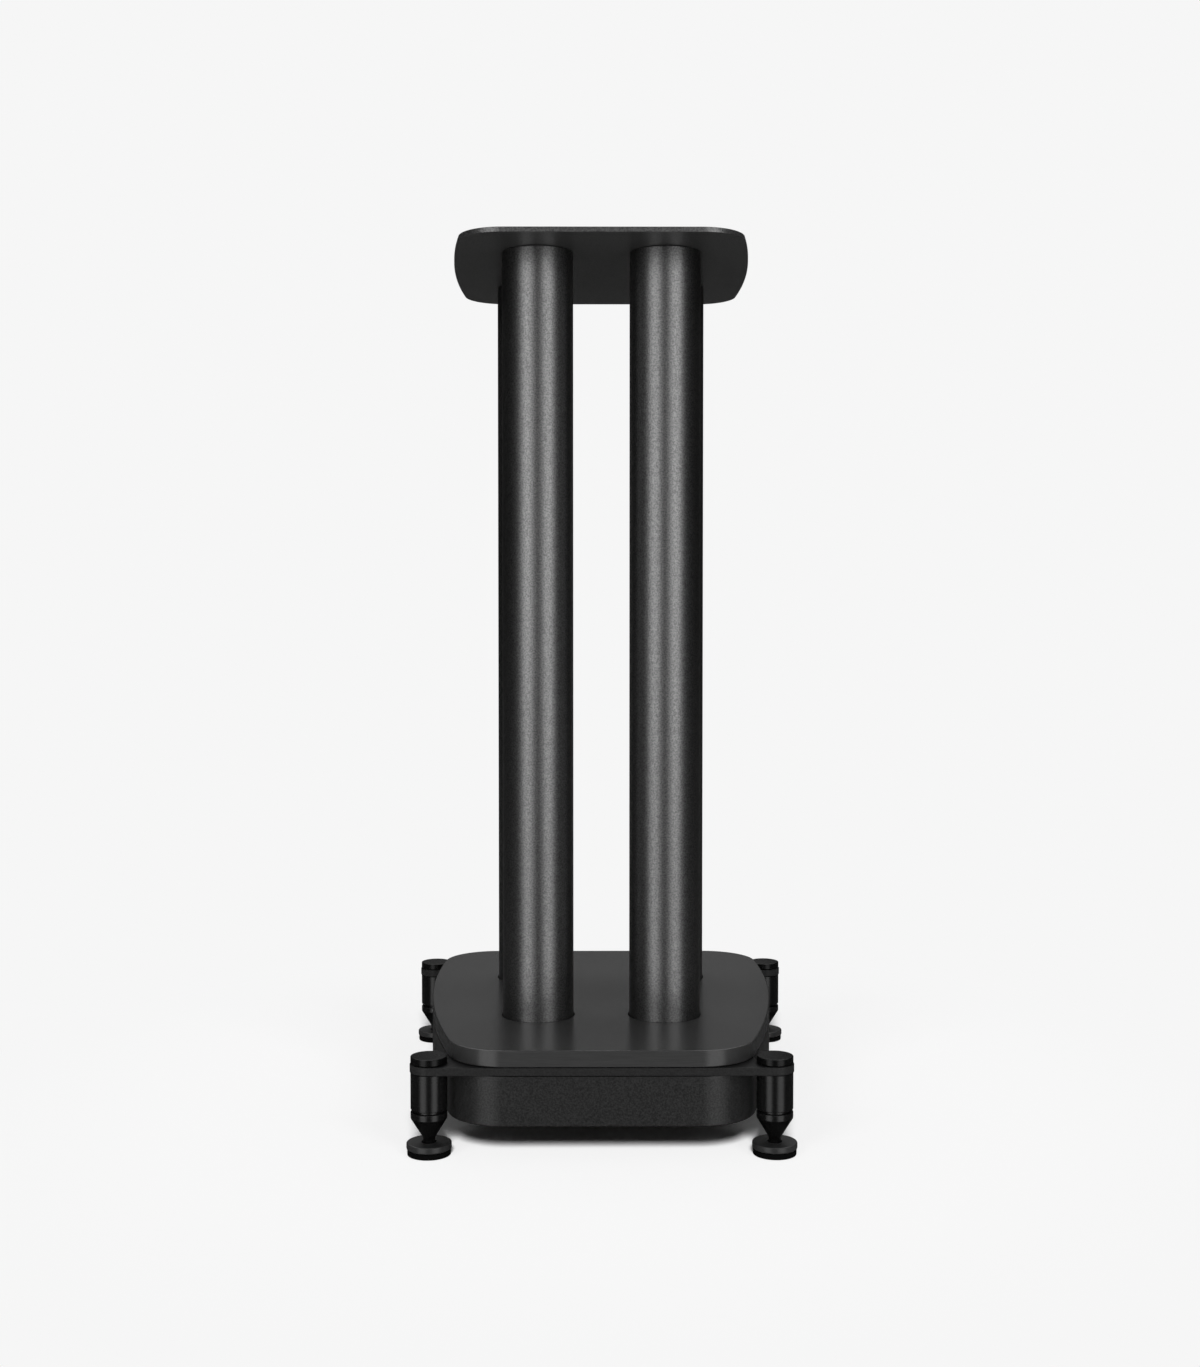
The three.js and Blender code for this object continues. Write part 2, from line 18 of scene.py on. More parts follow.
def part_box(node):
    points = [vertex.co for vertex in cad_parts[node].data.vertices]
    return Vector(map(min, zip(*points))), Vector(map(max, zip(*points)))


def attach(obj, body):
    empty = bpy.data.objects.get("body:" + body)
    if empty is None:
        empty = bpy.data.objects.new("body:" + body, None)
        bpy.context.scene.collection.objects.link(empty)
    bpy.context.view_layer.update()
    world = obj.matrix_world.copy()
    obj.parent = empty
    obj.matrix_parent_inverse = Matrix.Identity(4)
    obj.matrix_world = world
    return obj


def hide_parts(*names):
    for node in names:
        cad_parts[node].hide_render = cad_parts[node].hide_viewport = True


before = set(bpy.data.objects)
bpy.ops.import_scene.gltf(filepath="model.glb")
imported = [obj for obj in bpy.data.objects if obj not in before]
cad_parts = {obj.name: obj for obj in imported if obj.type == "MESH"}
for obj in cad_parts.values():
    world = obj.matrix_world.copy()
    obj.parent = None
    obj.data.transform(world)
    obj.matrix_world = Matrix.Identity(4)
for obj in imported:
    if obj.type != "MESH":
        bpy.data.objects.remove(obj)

LOG = logging.getLogger("speaker_stand")

MM = 0.001
STAND_BODY = "stand"
TURN_STEPS = 96  # facets on a full turn of a large round piece
SMALL_TURN_STEPS = 48
ARC_STEPS = 28  # facets on each arc of a plate's outline
DOME_STEPS = 10  # facets up the side of a domed tip
SET_STEPS = 64  # facets on the curved surfaces of the set
BREAK = math.radians(28)  # edges sharper than this are the ones that get rounded
CREASE = math.radians(50)  # edges sharper than this stay sharp in the shading
OVERRUN = 1.0  # how far a cutting tool passes the face that it opens
RUNNING_FIT = 0.3  # radial gap between a screw and its hole
TOUCH = 1e-3  # how near to a height counts as on it
MERGE = 1e-4  # vertices nearer than this become one
TINY = 1e-5  # a length below this counts as none
PATTERN = (0.3, 0.7)  # most of a pattern's values lie between these two
WHOLE = (0.0, 1.0)
COLOUR_A = 6  # the Mix node's inputs and output for colours
COLOUR_B = 7
COLOUR_OUT = 2
WHITE = (1.0, 1.0, 1.0, 1.0)
ORIGIN = Vector((0, 0, 0)).freeze()

Point = tuple[float, float]
Tone = tuple[float, float, float]
Item = bpy.types.Object
Socket = bpy.types.NodeSocket
Vertex = bmesh.types.BMVert
Feeds = dict[str | int, object]


class End(Enum):
    """An end of the stand, by the sign of Y there. The narrow end is the front."""

    FRONT = -1
    REAR = 1

    def node(self, kind: str) -> str:
        """The name of this end's node of one kind."""
        return f"{kind}_{self.name.lower()}"


class Corner(Enum):
    """A corner of the stand, as seen from its narrow end."""

    FRONT_LEFT = "front_left"
    FRONT_RIGHT = "front_right"
    REAR_LEFT = "rear_left"
    REAR_RIGHT = "rear_right"

    @property
    def end(self) -> End:
        """The end that it is at."""
        return End[self.name.split("_")[0]]

    def node(self, kind: str) -> str:
        """The name of this corner's node of one kind."""
        return f"{kind}_{self.value}"

    def room(self, kind: str) -> "Room":
        """The room of this corner's node of one kind."""
        return Room.of(self.node(kind))


class Slot(Enum):
    """The material slots of the record."""

    TOP_PLATE = "top_plate"
    COLUMN = "column"
    DECK = "plinth_deck"
    BODY = "plinth_body"
    BAR = "outrigger_bar"
    FOOT = "foot_metal"
    DISC = "floor_disc"
    PAD = "floor_pad"
    STEEL = "plug_steel"
    FASTENER = "black_fastener"


class Join(Enum):
    """What one blank does to another."""

    FUSE = "UNION"
    CUT = "DIFFERENCE"


@dataclass(frozen=True)
class Room:
    """The box that a node fills in the frame, in millimetres."""

    low: Vector
    high: Vector

    @classmethod
    def of(cls, node: str) -> "Room":
        """The room of the node with this name."""
        low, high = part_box(node)
        return cls(low / MM, high / MM)

    @property
    def bottom(self) -> float:
        """Height of its lowest point."""
        return self.low.z

    @property
    def top(self) -> float:
        """Height of its highest point."""
        return self.high.z

    @property
    def below(self) -> float:
        """Where a tool that cuts right through starts."""
        return self.bottom - OVERRUN

    @property
    def above(self) -> float:
        """Where such a tool ends."""
        return self.top + OVERRUN

    @property
    def centre(self) -> Vector:
        """The middle of the box."""
        return (self.low + self.high) / 2

    @property
    def size(self) -> Vector:
        """The box's three sides."""
        return self.high - self.low

    @property
    def radius(self) -> float:
        """Half the longer side, which is the radius of a round upright piece."""
        return max(self.size.x, self.size.y) / 2


# ---------- shaping ----------


def spun(
    bm: bmesh.types.BMesh,
    geom: Sequence[Vertex | bmesh.types.BMEdge],
    angle: float,
    steps: int,
    centre: Sequence[float] = (0, 0, 0),
    climb: float = 0.0,
    merge: bool = False,
) -> list[Vertex | bmesh.types.BMEdge]:
    """Spins vertices and edges about an upright axis.

    Args:
        bm: The mesh that they are in.
        geom: What is spun.
        angle: How far, in radians.
        steps: Number of facets.
        centre: A point of the axis.
        climb: Rise at each step.
        merge: Whether a full turn closes on its start.

    Returns:
        The last copy of what was spun.
    """
    made = bmesh.ops.spin(
        bm,
        geom=geom,
        cent=centre,
        axis=(0, 0, 1),
        dvec=(0, 0, climb),
        angle=angle,
        steps=steps,
        use_merge=merge,
        use_normal_flip=False,
        use_duplicate=False,
    )
    return made["geom_last"]


class Blank:
    """A closed body in the making, in millimetres, with its own bmesh."""

    THREAD_DEPTH = 0.61  # these four are shares of a thread's pitch
    THREAD_ROOT = 0.12  # half the width of its root
    THREAD_CREST = 0.04  # half the width of its crest
    THREAD_MERGE = 0.005  # vertices nearer than this become one
    THREAD_SPARE = 3  # turns made beyond its length, which are cut off
    THREAD_LEAD = 1.5  # those of them that are at its lower end

    def __init__(self) -> None:
        """Starts with nothing."""
        self.bm = bmesh.new()

    # -- starting shapes --

    @classmethod
    def turned(
        cls, profile: Sequence[Point], steps: int = TURN_STEPS, bored: bool = False
    ) -> "Blank":
        """A body of revolution about the upright axis.

        Args:
            profile: Radius and height of each corner, from the lowest up the outside.
            steps: Facets on the full turn.
            bored: Whether the profile closes on itself round a bore.

        Returns:
            The turned blank.
        """
        blank = cls()
        verts = [blank.bm.verts.new((radius, 0.0, z)) for radius, z in profile]
        ends = [*verts[1:], verts[0]] if bored else verts[1:]
        edges = [blank.bm.edges.new(pair) for pair in zip(verts, ends)]
        spun(blank.bm, [*verts, *edges], math.tau, steps, merge=True)
        return blank.tidied()

    @classmethod
    def rod(cls, radius: float, low: float, high: float, steps: int = SMALL_TURN_STEPS) -> "Blank":
        """A plain round rod between two heights."""
        return cls.turned([(0, low), (radius, low), (radius, high), (0, high)], steps)

    @classmethod
    def ring(cls, bore: float, radius: float, low: float, high: float, steps: int) -> "Blank":
        """A plain round ring between two heights."""
        outline = [(bore, low), (radius, low), (radius, high), (bore, high)]
        return cls.turned(outline, steps, bored=True)

    @classmethod
    def hexagon(cls, across_flats: float, low: float, high: float) -> "Blank":
        """An upright hexagonal bar between two heights."""
        return cls.rod(across_flats / math.sqrt(3), low, high, 6)

    @classmethod
    def block(cls, low: Vector, high: Vector) -> "Blank":
        """A square-cornered block between two corners.

        Args:
            low: Its lowest corner.
            high: Its highest corner.

        Returns:
            The block.
        """
        blank = cls()
        size = Matrix.Diagonal((*(high - low), 1))
        place = Matrix.Translation((low + high) / 2) @ size
        bmesh.ops.create_cube(blank.bm, size=1, matrix=place)
        return blank

    @classmethod
    def ribbed_drum(cls, radius: float, depth: float, ribs: int, low: float, high: float) -> "Blank":
        """A drum with upright ribs round it, as on the head of a socket screw.

        Args:
            radius: Radius over the ribs.
            depth: Depth of the grooves between them.
            ribs: Number of ribs.
            low: Height of the lower face.
            high: Height of the upper face.

        Returns:
            The ribbed blank.
        """
        blank = cls()
        ring = bmesh.ops.create_circle(blank.bm, cap_ends=True, segments=2 * ribs, radius=radius)
        bmesh.ops.translate(blank.bm, verts=ring["verts"], vec=(0, 0, low))
        grooves = list(ring["verts"])[::2]
        inward = 1 - depth / radius
        bmesh.ops.scale(blank.bm, verts=grooves, vec=(inward, inward, 1))
        return blank.raised(high - low)

    @classmethod
    def thread(cls, radius: float, pitch: float, low: float, high: float) -> "Blank":
        """A length of screw thread, cut square at both ends.

        Args:
            radius: Outer radius.
            pitch: Distance between two turns.
            low: Height of the lower end.
            high: Height of the upper end.

        Returns:
            The threaded blank.
        """
        root = radius - cls.THREAD_DEPTH * pitch
        blank = cls()
        start = low - cls.THREAD_LEAD * pitch
        section = [
            (root, 0.0),
            (root, cls.THREAD_ROOT),
            (radius, 0.5 - cls.THREAD_CREST),
            (radius, 0.5 + cls.THREAD_CREST),
            (root, 1 - cls.THREAD_ROOT),
            (root, 1.0),
        ]
        verts = [blank.bm.verts.new((r, 0.0, start + share * pitch)) for r, share in section]
        edges = [blank.bm.edges.new(pair) for pair in zip(verts, verts[1:])]
        climb = pitch / SMALL_TURN_STEPS
        spun(blank.bm, [*verts, *edges], math.tau, SMALL_TURN_STEPS, climb=climb)
        one_turn = [*blank.bm.verts, *blank.bm.edges, *blank.bm.faces]
        for turn in range(1, math.ceil((high - low) / pitch) + cls.THREAD_SPARE):
            copied = bmesh.ops.duplicate(blank.bm, geom=one_turn)
            lifted = [item for item in copied["geom"] if isinstance(item, Vertex)]
            bmesh.ops.translate(blank.bm, verts=lifted, vec=(0, 0, turn * pitch))
        bmesh.ops.remove_doubles(blank.bm, verts=blank.bm.verts, dist=cls.THREAD_MERGE * pitch)
        for height, outward in ((low, -1), (high, 1)):
            bmesh.ops.bisect_plane(
                blank.bm,
                geom=[*blank.bm.verts, *blank.bm.edges, *blank.bm.faces],
                dist=TINY,
                plane_co=(0, 0, height),
                plane_no=(0, 0, outward),
                clear_outer=True,
            )
            rim = [edge for edge in blank.bm.edges if edge.is_boundary]
            at_cut = [e for e in rim if all(abs(v.co.z - height) < TOUCH for v in e.verts)]
            bmesh.ops.holes_fill(blank.bm, edges=at_cut, sides=0)
        return blank.tidied()

    # -- flat outlines --

    def swept(
        self, start: Vertex, centre: Sequence[float], angle: float, steps: int
    ) -> Vertex:
        """Draws an arc of edges from a vertex, and gives the vertex at its end."""
        last = spun(self.bm, [start], angle, steps, (*centre, start.co.z))
        return next(item for item in last if isinstance(item, Vertex))

    def closed_across(self) -> "Blank":
        """Mirrors a half outline across X = 0, joins its two ends and fills it.

        Returns:
            This blank, now one flat face.
        """
        half = [*self.bm.verts, *self.bm.edges]
        bmesh.ops.mirror(self.bm, geom=half, matrix=Matrix(), merge_dist=-1, axis="X")
        loose = [vert for vert in self.bm.verts if len(vert.link_edges) == 1]
        for end in End:
            self.bm.edges.new([vert for vert in loose if vert.co.y * end.value > 0])
        bmesh.ops.contextual_create(self.bm, geom=list(self.bm.edges))
        return self

    def raised(self, height: float) -> "Blank":
        """Extrudes the flat outline upwards into a solid.

        Args:
            height: The solid's thickness.

        Returns:
            This blank, closed.
        """
        made = bmesh.ops.extrude_face_region(self.bm, geom=list(self.bm.faces), use_keep_orig=True)
        top = [item for item in made["geom"] if isinstance(item, Vertex)]
        bmesh.ops.translate(self.bm, verts=top, vec=(0, 0, height))
        return self.tidied()

    # -- work on the whole blank --

    def tidied(self) -> "Blank":
        """Merges doubled vertices and turns every face outwards.

        Returns:
            This blank.
        """
        bmesh.ops.remove_doubles(self.bm, verts=self.bm.verts, dist=MERGE)
        bmesh.ops.dissolve_degenerate(self.bm, edges=self.bm.edges, dist=TINY)
        bmesh.ops.recalc_face_normals(self.bm, faces=self.bm.faces)
        return self

    def moved(self, x: float, y: float) -> "Blank":
        """Shifts the blank sideways."""
        bmesh.ops.translate(self.bm, verts=self.bm.verts, vec=(x, y, 0))
        return self

    def rounded(
        self,
        radius: float,
        where: Callable[[Vector], bool] = lambda middle: True,
        segments: int = 3,
    ) -> "Blank":
        """Rounds the sharp edges.

        Args:
            radius: Width of the rounding.
            where: Says by an edge's middle whether it is rounded.
            segments: Facets across the rounding.

        Returns:
            This blank.
        """
        sharp = [
            edge
            for edge in self.bm.edges
            if edge.is_manifold
            and edge.calc_face_angle(0.0) > BREAK
            and where((edge.verts[0].co + edge.verts[1].co) / 2)
        ]
        bmesh.ops.bevel(
            self.bm,
            geom=sharp,
            offset=radius,
            offset_type="OFFSET",
            segments=segments,
            profile=0.5,
            affect="EDGES",
            clamp_overlap=True,
            material=-1,
        )
        return self

    def mesh(self, name: str) -> bpy.types.Mesh:
        """A mesh copy of the blank.

        Args:
            name: The mesh's name.

        Returns:
            The mesh.
        """
        made = bpy.data.meshes.new(name)
        self.bm.to_mesh(made)
        return made

    def joined(self, other: "Blank", how: Join) -> "Blank":
        """Joins the blank with another, or cuts it with one.

        Args:
            other: The other blank, which is used up.
            how: Which of the two.

        Returns:
            This blank.
        """
        pair = [bpy.data.objects.new("work", blank.mesh("work")) for blank in (self, other)]
        for item in pair:
            bpy.context.scene.collection.objects.link(item)
        modifier = pair[0].modifiers.new("combine", "BOOLEAN")
        modifier.operation = how.value
        modifier.solver = "EXACT"
        modifier.object = pair[1]
        bpy.context.view_layer.update()
        graph = bpy.context.evaluated_depsgraph_get()
        made = bpy.data.meshes.new_from_object(pair[0].evaluated_get(graph))
        self.bm.clear()
        self.bm.from_mesh(made)
        other.bm.free()
        spent = [made, *(item.data for item in pair)]
        for item in pair:
            bpy.data.objects.remove(item)
        for mesh in spent:
            bpy.data.meshes.remove(mesh)
        return self.tidied()

    def fused(self, other: "Blank") -> "Blank":
        """Joins another blank to this one."""
        return self.joined(other, Join.FUSE)

    def cut(self, tool: "Blank") -> "Blank":
        """Cuts the blank with another."""
        return self.joined(tool, Join.CUT)

    def drilled(
        self, centre: Vector, radius: float, low: float, high: float, steps: int = SMALL_TURN_STEPS
    ) -> "Blank":
        """Cuts a round hole between two heights."""
        return self.cut(Blank.rod(radius, low, high, steps).moved(centre.x, centre.y))

    def set_down(
        self,
        node: str,
        finish: "Finish",
        centre: Vector = ORIGIN,
        body: str = STAND_BODY,
    ) -> Item:
        """Makes the blank a finished piece in the place of a frame node.

        Args:
            node: The node that it stands for; the piece is named after it.
            finish: What its surface is like.
            centre: Where its upright axis stands, for a piece that was turned at the origin.
            body: The frame body that carries it.

        Returns:
            The piece.
        """
        self.moved(centre.x, centre.y)
        bmesh.ops.scale(self.bm, verts=self.bm.verts, vec=(MM, MM, MM))
        mesh = self.mesh(f"{node}_finished")
        self.bm.free()
        mesh.shade_smooth()
        mesh.set_sharp_from_angle(angle=CREASE)
        mesh.materials.append(finish.material(centre * MM))
        piece = bpy.data.objects.new(f"{node}_finished", mesh)
        bpy.context.scene.collection.objects.link(piece)
        shading = piece.modifiers.new("even_shading", "WEIGHTED_NORMAL")
        shading.keep_sharp = True
        shading.weight = 100
        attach(piece, body)
        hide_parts(node)
        LOG.info("%s: %d faces", piece.name, len(mesh.polygons))
        return piece


@dataclass(frozen=True)
class Plan:
    """A boat-shaped outline: straight ends, long side arcs and tangent corner arcs."""

    half_length: float
    widest: float
    widest_at: float
    side_radius: float
    front_corner: float
    rear_corner: float

    def corner(self, end: End) -> tuple[Vector, float]:
        """The rounded corner at one end of the right side.

        Args:
            end: Which end.

        Returns:
            The centre, and the angle at which the corner meets the side arc.
        """
        radius = self.front_corner if end is End.FRONT else self.rear_corner
        y = end.value * (self.half_length - radius)
        rise = y - self.widest_at
        reach = math.sqrt((self.side_radius - radius) ** 2 - rise**2)
        return Vector((self.widest / 2 - self.side_radius + reach, y)), math.atan2(rise, reach)

    def blank(self, low: float, high: float) -> Blank:
        """A solid of this plan.

        Args:
            low: Height of its underside.
            high: Height of its top.

        Returns:
            The square-edged blank.
        """
        blank = Blank()
        front, front_angle = self.corner(End.FRONT)
        rear, rear_angle = self.corner(End.REAR)
        quarter = math.pi / 2
        start = blank.bm.verts.new((front.x, -self.half_length, low))
        side_centre = (self.widest / 2 - self.side_radius, self.widest_at)
        on_side = blank.swept(start, front, front_angle + quarter, ARC_STEPS)
        off_side = blank.swept(on_side, side_centre, rear_angle - front_angle, ARC_STEPS)
        blank.swept(off_side, rear, quarter - rear_angle, ARC_STEPS)
        return blank.closed_across().raised(high - low)


@dataclass(frozen=True)
class SocketScrew:
    """A socket head screw that points up: ribbed head, hexagon socket, threaded shank."""

    radius: float
    pitch: float
    head_radius: float
    head_height: float
    socket: float
    ribs: int = 36
    rib_depth: float = 0.28
    rib_clearance: float = 0.05  # how far the grooves between the ribs stand off the head's core
    head_edge: float = 0.5
    plain_rim: float = 1.6  # where the ribs start, in widths of the head's edge

    def build(self, node: str) -> None:
        """Builds the screw from the bottom of a node's room to its top.

        Args:
            node: The node.
        """
        room = Room.of(node)
        bearing = room.bottom + self.head_height
        core = self.head_radius - self.rib_depth - self.rib_clearance
        head = Blank.rod(core, room.bottom, bearing)
        head.rounded(self.head_edge, lambda middle: middle.z < room.bottom + OVERRUN / 2)
        rib_low = room.bottom + self.plain_rim * self.head_edge
        rib_high = bearing - self.head_edge
        head.fused(Blank.ribbed_drum(self.head_radius, self.rib_depth, self.ribs, rib_low, rib_high))
        head.fused(Blank.thread(self.radius, self.pitch, bearing - self.head_edge, room.top))
        socket_end = room.bottom + self.head_height / 2
        head.cut(Blank.hexagon(self.socket, room.below, socket_end))
        head.set_down(node, SCREW_BLACK, room.centre)


# ---------- finishes ----------


class NodeSheet:
    """The nodes of a material or a world, with nothing but the output to start with."""

    def __init__(
        self, owner: bpy.types.Material | bpy.types.World, axis: Vector = ORIGIN
    ) -> None:
        """Empties the owner's nodes.

        Args:
            owner: What the nodes belong to.
            axis: Where the piece's upright axis stands, in metres.
        """
        owner.use_nodes = True
        self.owner = owner
        self.axis = axis
        self.tree = owner.node_tree
        self.tree.nodes.clear()
        self.output = self.tree.nodes.new(f"ShaderNodeOutput{type(owner).__name__}")

    def out(
        self, kind: str, name: str | int, feeds: Feeds | None = None, **settings: object
    ) -> Socket:
        """Adds a node.

        Args:
            kind: Its type, without ShaderNode in front.
            name: The output that is wanted.
            feeds: What its inputs take: a socket to link, or a plain value.
            settings: Its own properties.

        Returns:
            That output.
        """
        made = self.tree.nodes.new(f"ShaderNode{kind}")
        for key, value in settings.items():
            setattr(made, key, value)
        for key, value in (feeds or {}).items():
            if isinstance(value, Socket):
                self.tree.links.new(value, made.inputs[key])
            else:
                made.inputs[key].default_value = value
        return made.outputs[name]

    def show(self, shader: Socket) -> None:
        """Makes a shader the surface."""
        self.tree.links.new(shader, self.output.inputs["Surface"])

    def place(self) -> Socket:
        """Object coordinates."""
        return self.out("TexCoord", "Object")

    def seen(self) -> Socket:
        """Whether a ray shows the background: straight, in gloss or through glass.

        Returns:
            One for such a ray and none for the others.
        """
        total = self.out("LightPath", "Is Camera Ray")
        for name in ("Is Glossy Ray", "Is Transmission Ray"):
            either = {0: total, 1: self.out("LightPath", name)}
            total = self.out("Math", "Value", either, operation="MAXIMUM")
        return total

    def noise(self, grain: float, detail: float = 2.0, along: Socket | None = None) -> Socket:
        """A cloudy pattern.

        Args:
            grain: Size of its patches, in millimetres.
            detail: Octaves of finer patches.
            along: The coordinates that it follows, where they aren't the plain ones.

        Returns:
            Its value, around a half.
        """
        feeds = {"Vector": along or self.place(), "Scale": 1 / (grain * MM), "Detail": detail}
        return self.out("TexNoise", "Fac", feeds)

    def ranged(
        self, value: Socket, low: float, high: float, span: Point = PATTERN, shape: str = "LINEAR"
    ) -> Socket:
        """Spreads a span of a value between two numbers."""
        feeds = {"From Min": span[0], "From Max": span[1], "To Min": low, "To Max": high}
        return self.out("MapRange", "Result", {"Value": value, **feeds}, interpolation_type=shape)

    def mixed(self, share: Socket, first: object, second: object) -> Socket:
        """Mixes two colours."""
        feeds = {0: share, COLOUR_A: first, COLOUR_B: second}
        return self.out("Mix", COLOUR_OUT, feeds, data_type="RGBA")

    def blend(self, pattern: Socket, dark: Tone, light: Tone) -> Socket:
        """Blends two tones by a pattern."""
        return self.mixed(self.ranged(pattern, 0.0, 1.0), (*dark, 1.0), (*light, 1.0))

    def upright(self) -> Socket:
        """One on upright faces and none on level ones."""
        rise = self.out("SeparateXYZ", "Z", {0: self.out("NewGeometry", "Normal")})
        return self.ranged(self.out("Math", "Value", {0: rise}, operation="ABSOLUTE"), 1.0, 0.0)

    def bump(self, height: Socket, depth: float, under: Socket | None = None) -> Socket:
        """A relief.

        Args:
            height: The pattern that lifts the surface.
            depth: Height of the relief, in millimetres.
            under: A relief that this one lies on.

        Returns:
            The bent normal.
        """
        feeds: Feeds = {"Height": height, "Distance": depth * MM, "Strength": 1.0}
        if under is not None:
            feeds["Normal"] = under
        return self.out("Bump", "Normal", feeds)


def grey(level: float) -> Tone:
    """A neutral tone."""
    return (level, level, level)


@dataclass(frozen=True)
class Finish:
    """What every finish has: a tone, how far it varies, and how polished it is."""

    name: str
    slot: Slot
    tone: float
    roughness: float
    wander: float = 0.1  # share by which the tone varies
    rough_wander: float = 0.03  # how far the roughness varies either way
    shine: float = 0.5  # specular level

    def name_at(self, axis: Vector) -> str:
        """The material's name on a piece whose axis stands there."""
        return self.name

    def tones(self, gain: float = 1.0) -> list[Tone]:
        """The darkest and the lightest tone, times a gain."""
        return [grey(self.tone * (1 + way * self.wander) * gain) for way in (-1, 1)]

    def skin(self, sheet: NodeSheet, shade: Socket, polish: Socket, relief: Socket) -> Feeds:
        """What the shader takes in every finish.

        Args:
            sheet: The finish's nodes.
            shade: The pattern that the tone follows.
            polish: The pattern that the roughness follows.
            relief: The bent normal.

        Returns:
            A socket or a number for each input.
        """
        low, high = self.roughness - self.rough_wander, self.roughness + self.rough_wander
        return {
            "Base Color": sheet.blend(shade, *self.tones()),
            "Roughness": sheet.ranged(polish, low, high),
            "Normal": relief,
            "Specular IOR Level": self.shine,
        }

    def feeds(self, sheet: NodeSheet) -> Feeds:
        """What the shader takes in this finish."""
        raise NotImplementedError

    def material(self, axis: Vector) -> bpy.types.Material:
        """The finish as a material, made once under each name.

        Args:
            axis: Where the piece's upright axis stands, in metres.

        Returns:
            The material.
        """
        name = self.name_at(axis)
        known = bpy.data.materials.get(name)
        if known:
            return known
        sheet = NodeSheet(bpy.data.materials.new(name), axis)
        sheet.show(sheet.out("BsdfPrincipled", "BSDF", self.feeds(sheet)))
        return sheet.owner


@dataclass(frozen=True)
class PowderCoat(Finish):
    """A baked textured coat: small round grains, some of them metallic, over a faint swell."""

    metallic: float = 0.0
    grain: float = 0.9
    grain_depth: float = 0.05
    fine: float = 0.7  # size of the relief's grains, as a share of the specks'
    swell: float = 6.0
    swell_depth: float = 0.03
    rim_gain: float = 1.0  # how much lighter upright faces are painted than level ones: painted highlight on edges, painted shade on level faces
    rim_metal: float = 0.0  # metal that shows there besides

    def feeds(self, sheet: NodeSheet) -> Feeds:
        """What the shader takes in this finish.

        Args:
            sheet: The finish's nodes.

        Returns:
            A socket or a number for each input.
        """
        grains = sheet.noise(self.grain * self.fine)
        specks = sheet.noise(self.grain, detail=1.0)
        swell = sheet.bump(sheet.noise(self.swell, detail=1.0), self.swell_depth)
        relief = sheet.bump(grains, self.grain_depth, swell)
        paint = self.skin(sheet, specks, grains, relief) | {"Metallic": self.metallic}
        # Painted light: upright faces take a lighter copy of the tone, a painted highlight on edges
        # against painted shade on the level faces.
        if self.rim_gain != 1.0:
            rim = sheet.blend(specks, *self.tones(self.rim_gain))
            paint["Base Color"] = sheet.mixed(sheet.upright(), paint["Base Color"], rim)
        if self.rim_metal:
            full = self.metallic + self.rim_metal
            paint["Metallic"] = sheet.ranged(sheet.upright(), self.metallic, full, WHOLE)
        return paint


@dataclass(frozen=True)
class GrainedPanel(Finish):
    """A satin lacquered panel with a faint long grain across it."""

    grain: float = 0.35
    grain_stretch: float = 40.0
    grain_depth: float = 0.012
    speck: float = 0.8
    speck_depth: float = 0.004

    def feeds(self, sheet: NodeSheet) -> Feeds:
        """What the shader takes in this finish.

        Args:
            sheet: The finish's nodes.

        Returns:
            A socket or a number for each input.
        """
        stretch = {0: sheet.place(), 1: (1 / self.grain_stretch, 1, 1)}
        along = sheet.out("VectorMath", "Vector", stretch, operation="MULTIPLY")
        long_grain = sheet.noise(self.grain, along=along)
        specks = sheet.noise(self.speck)
        relief = sheet.bump(specks, self.speck_depth, sheet.bump(long_grain, self.grain_depth))
        return self.skin(sheet, long_grain, specks, relief)


@dataclass(frozen=True)
class TurnedMetal(Finish):
    """Metal off the lathe: fine rings round the piece's own axis."""

    ring: float = 0.25
    ring_depth: float = 0.004
    cloud: float = 5.0
    metallic: float = 0.0

    def name_at(self, axis: Vector) -> str:
        """The material's name, which says where the rings are centred."""
        return f"{self.name}_{round(axis.x / MM)}_{round(axis.y / MM)}"

    def feeds(self, sheet: NodeSheet) -> Feeds:
        """What the shader takes in this finish, its rings centred on the axis.

        Args:
            sheet: The finish's nodes.

        Returns:
            A socket or a number for each input.
        """
        place = sheet.place()
        shift = {0: place, 1: tuple(sheet.axis)}
        moved = sheet.out("VectorMath", "Vector", shift, operation="SUBTRACT")
        flat = sheet.out("VectorMath", "Vector", {0: moved, 1: (1, 1, 0)}, operation="MULTIPLY")
        across = sheet.out("VectorMath", "Value", {0: flat}, operation="LENGTH")
        height = sheet.out("SeparateXYZ", "Z", {0: place})
        along = sheet.out("Math", "Value", {0: across, 1: height}, operation="ADD")
        lines = {"W": along, "Scale": 1 / (self.ring * MM), "Detail": 3.0}
        rings = sheet.out("TexNoise", "Fac", lines, noise_dimensions="1D")
        clouds = sheet.noise(self.cloud, detail=3.0)
        relief = sheet.bump(rings, self.ring_depth)
        return self.skin(sheet, clouds, rings, relief) | {"Metallic": self.metallic}


@dataclass(frozen=True)
class MouldedRubber(Finish):
    """Dull moulded rubber with a fine pitted skin."""

    pit: float = 0.5
    pit_depth: float = 0.03
    bloom: float = 4.0

    def feeds(self, sheet: NodeSheet) -> Feeds:
        """What the shader takes in this finish."""
        bloom = sheet.noise(self.bloom, detail=3.0)
        return self.skin(sheet, bloom, bloom, sheet.bump(sheet.noise(self.pit), self.pit_depth))
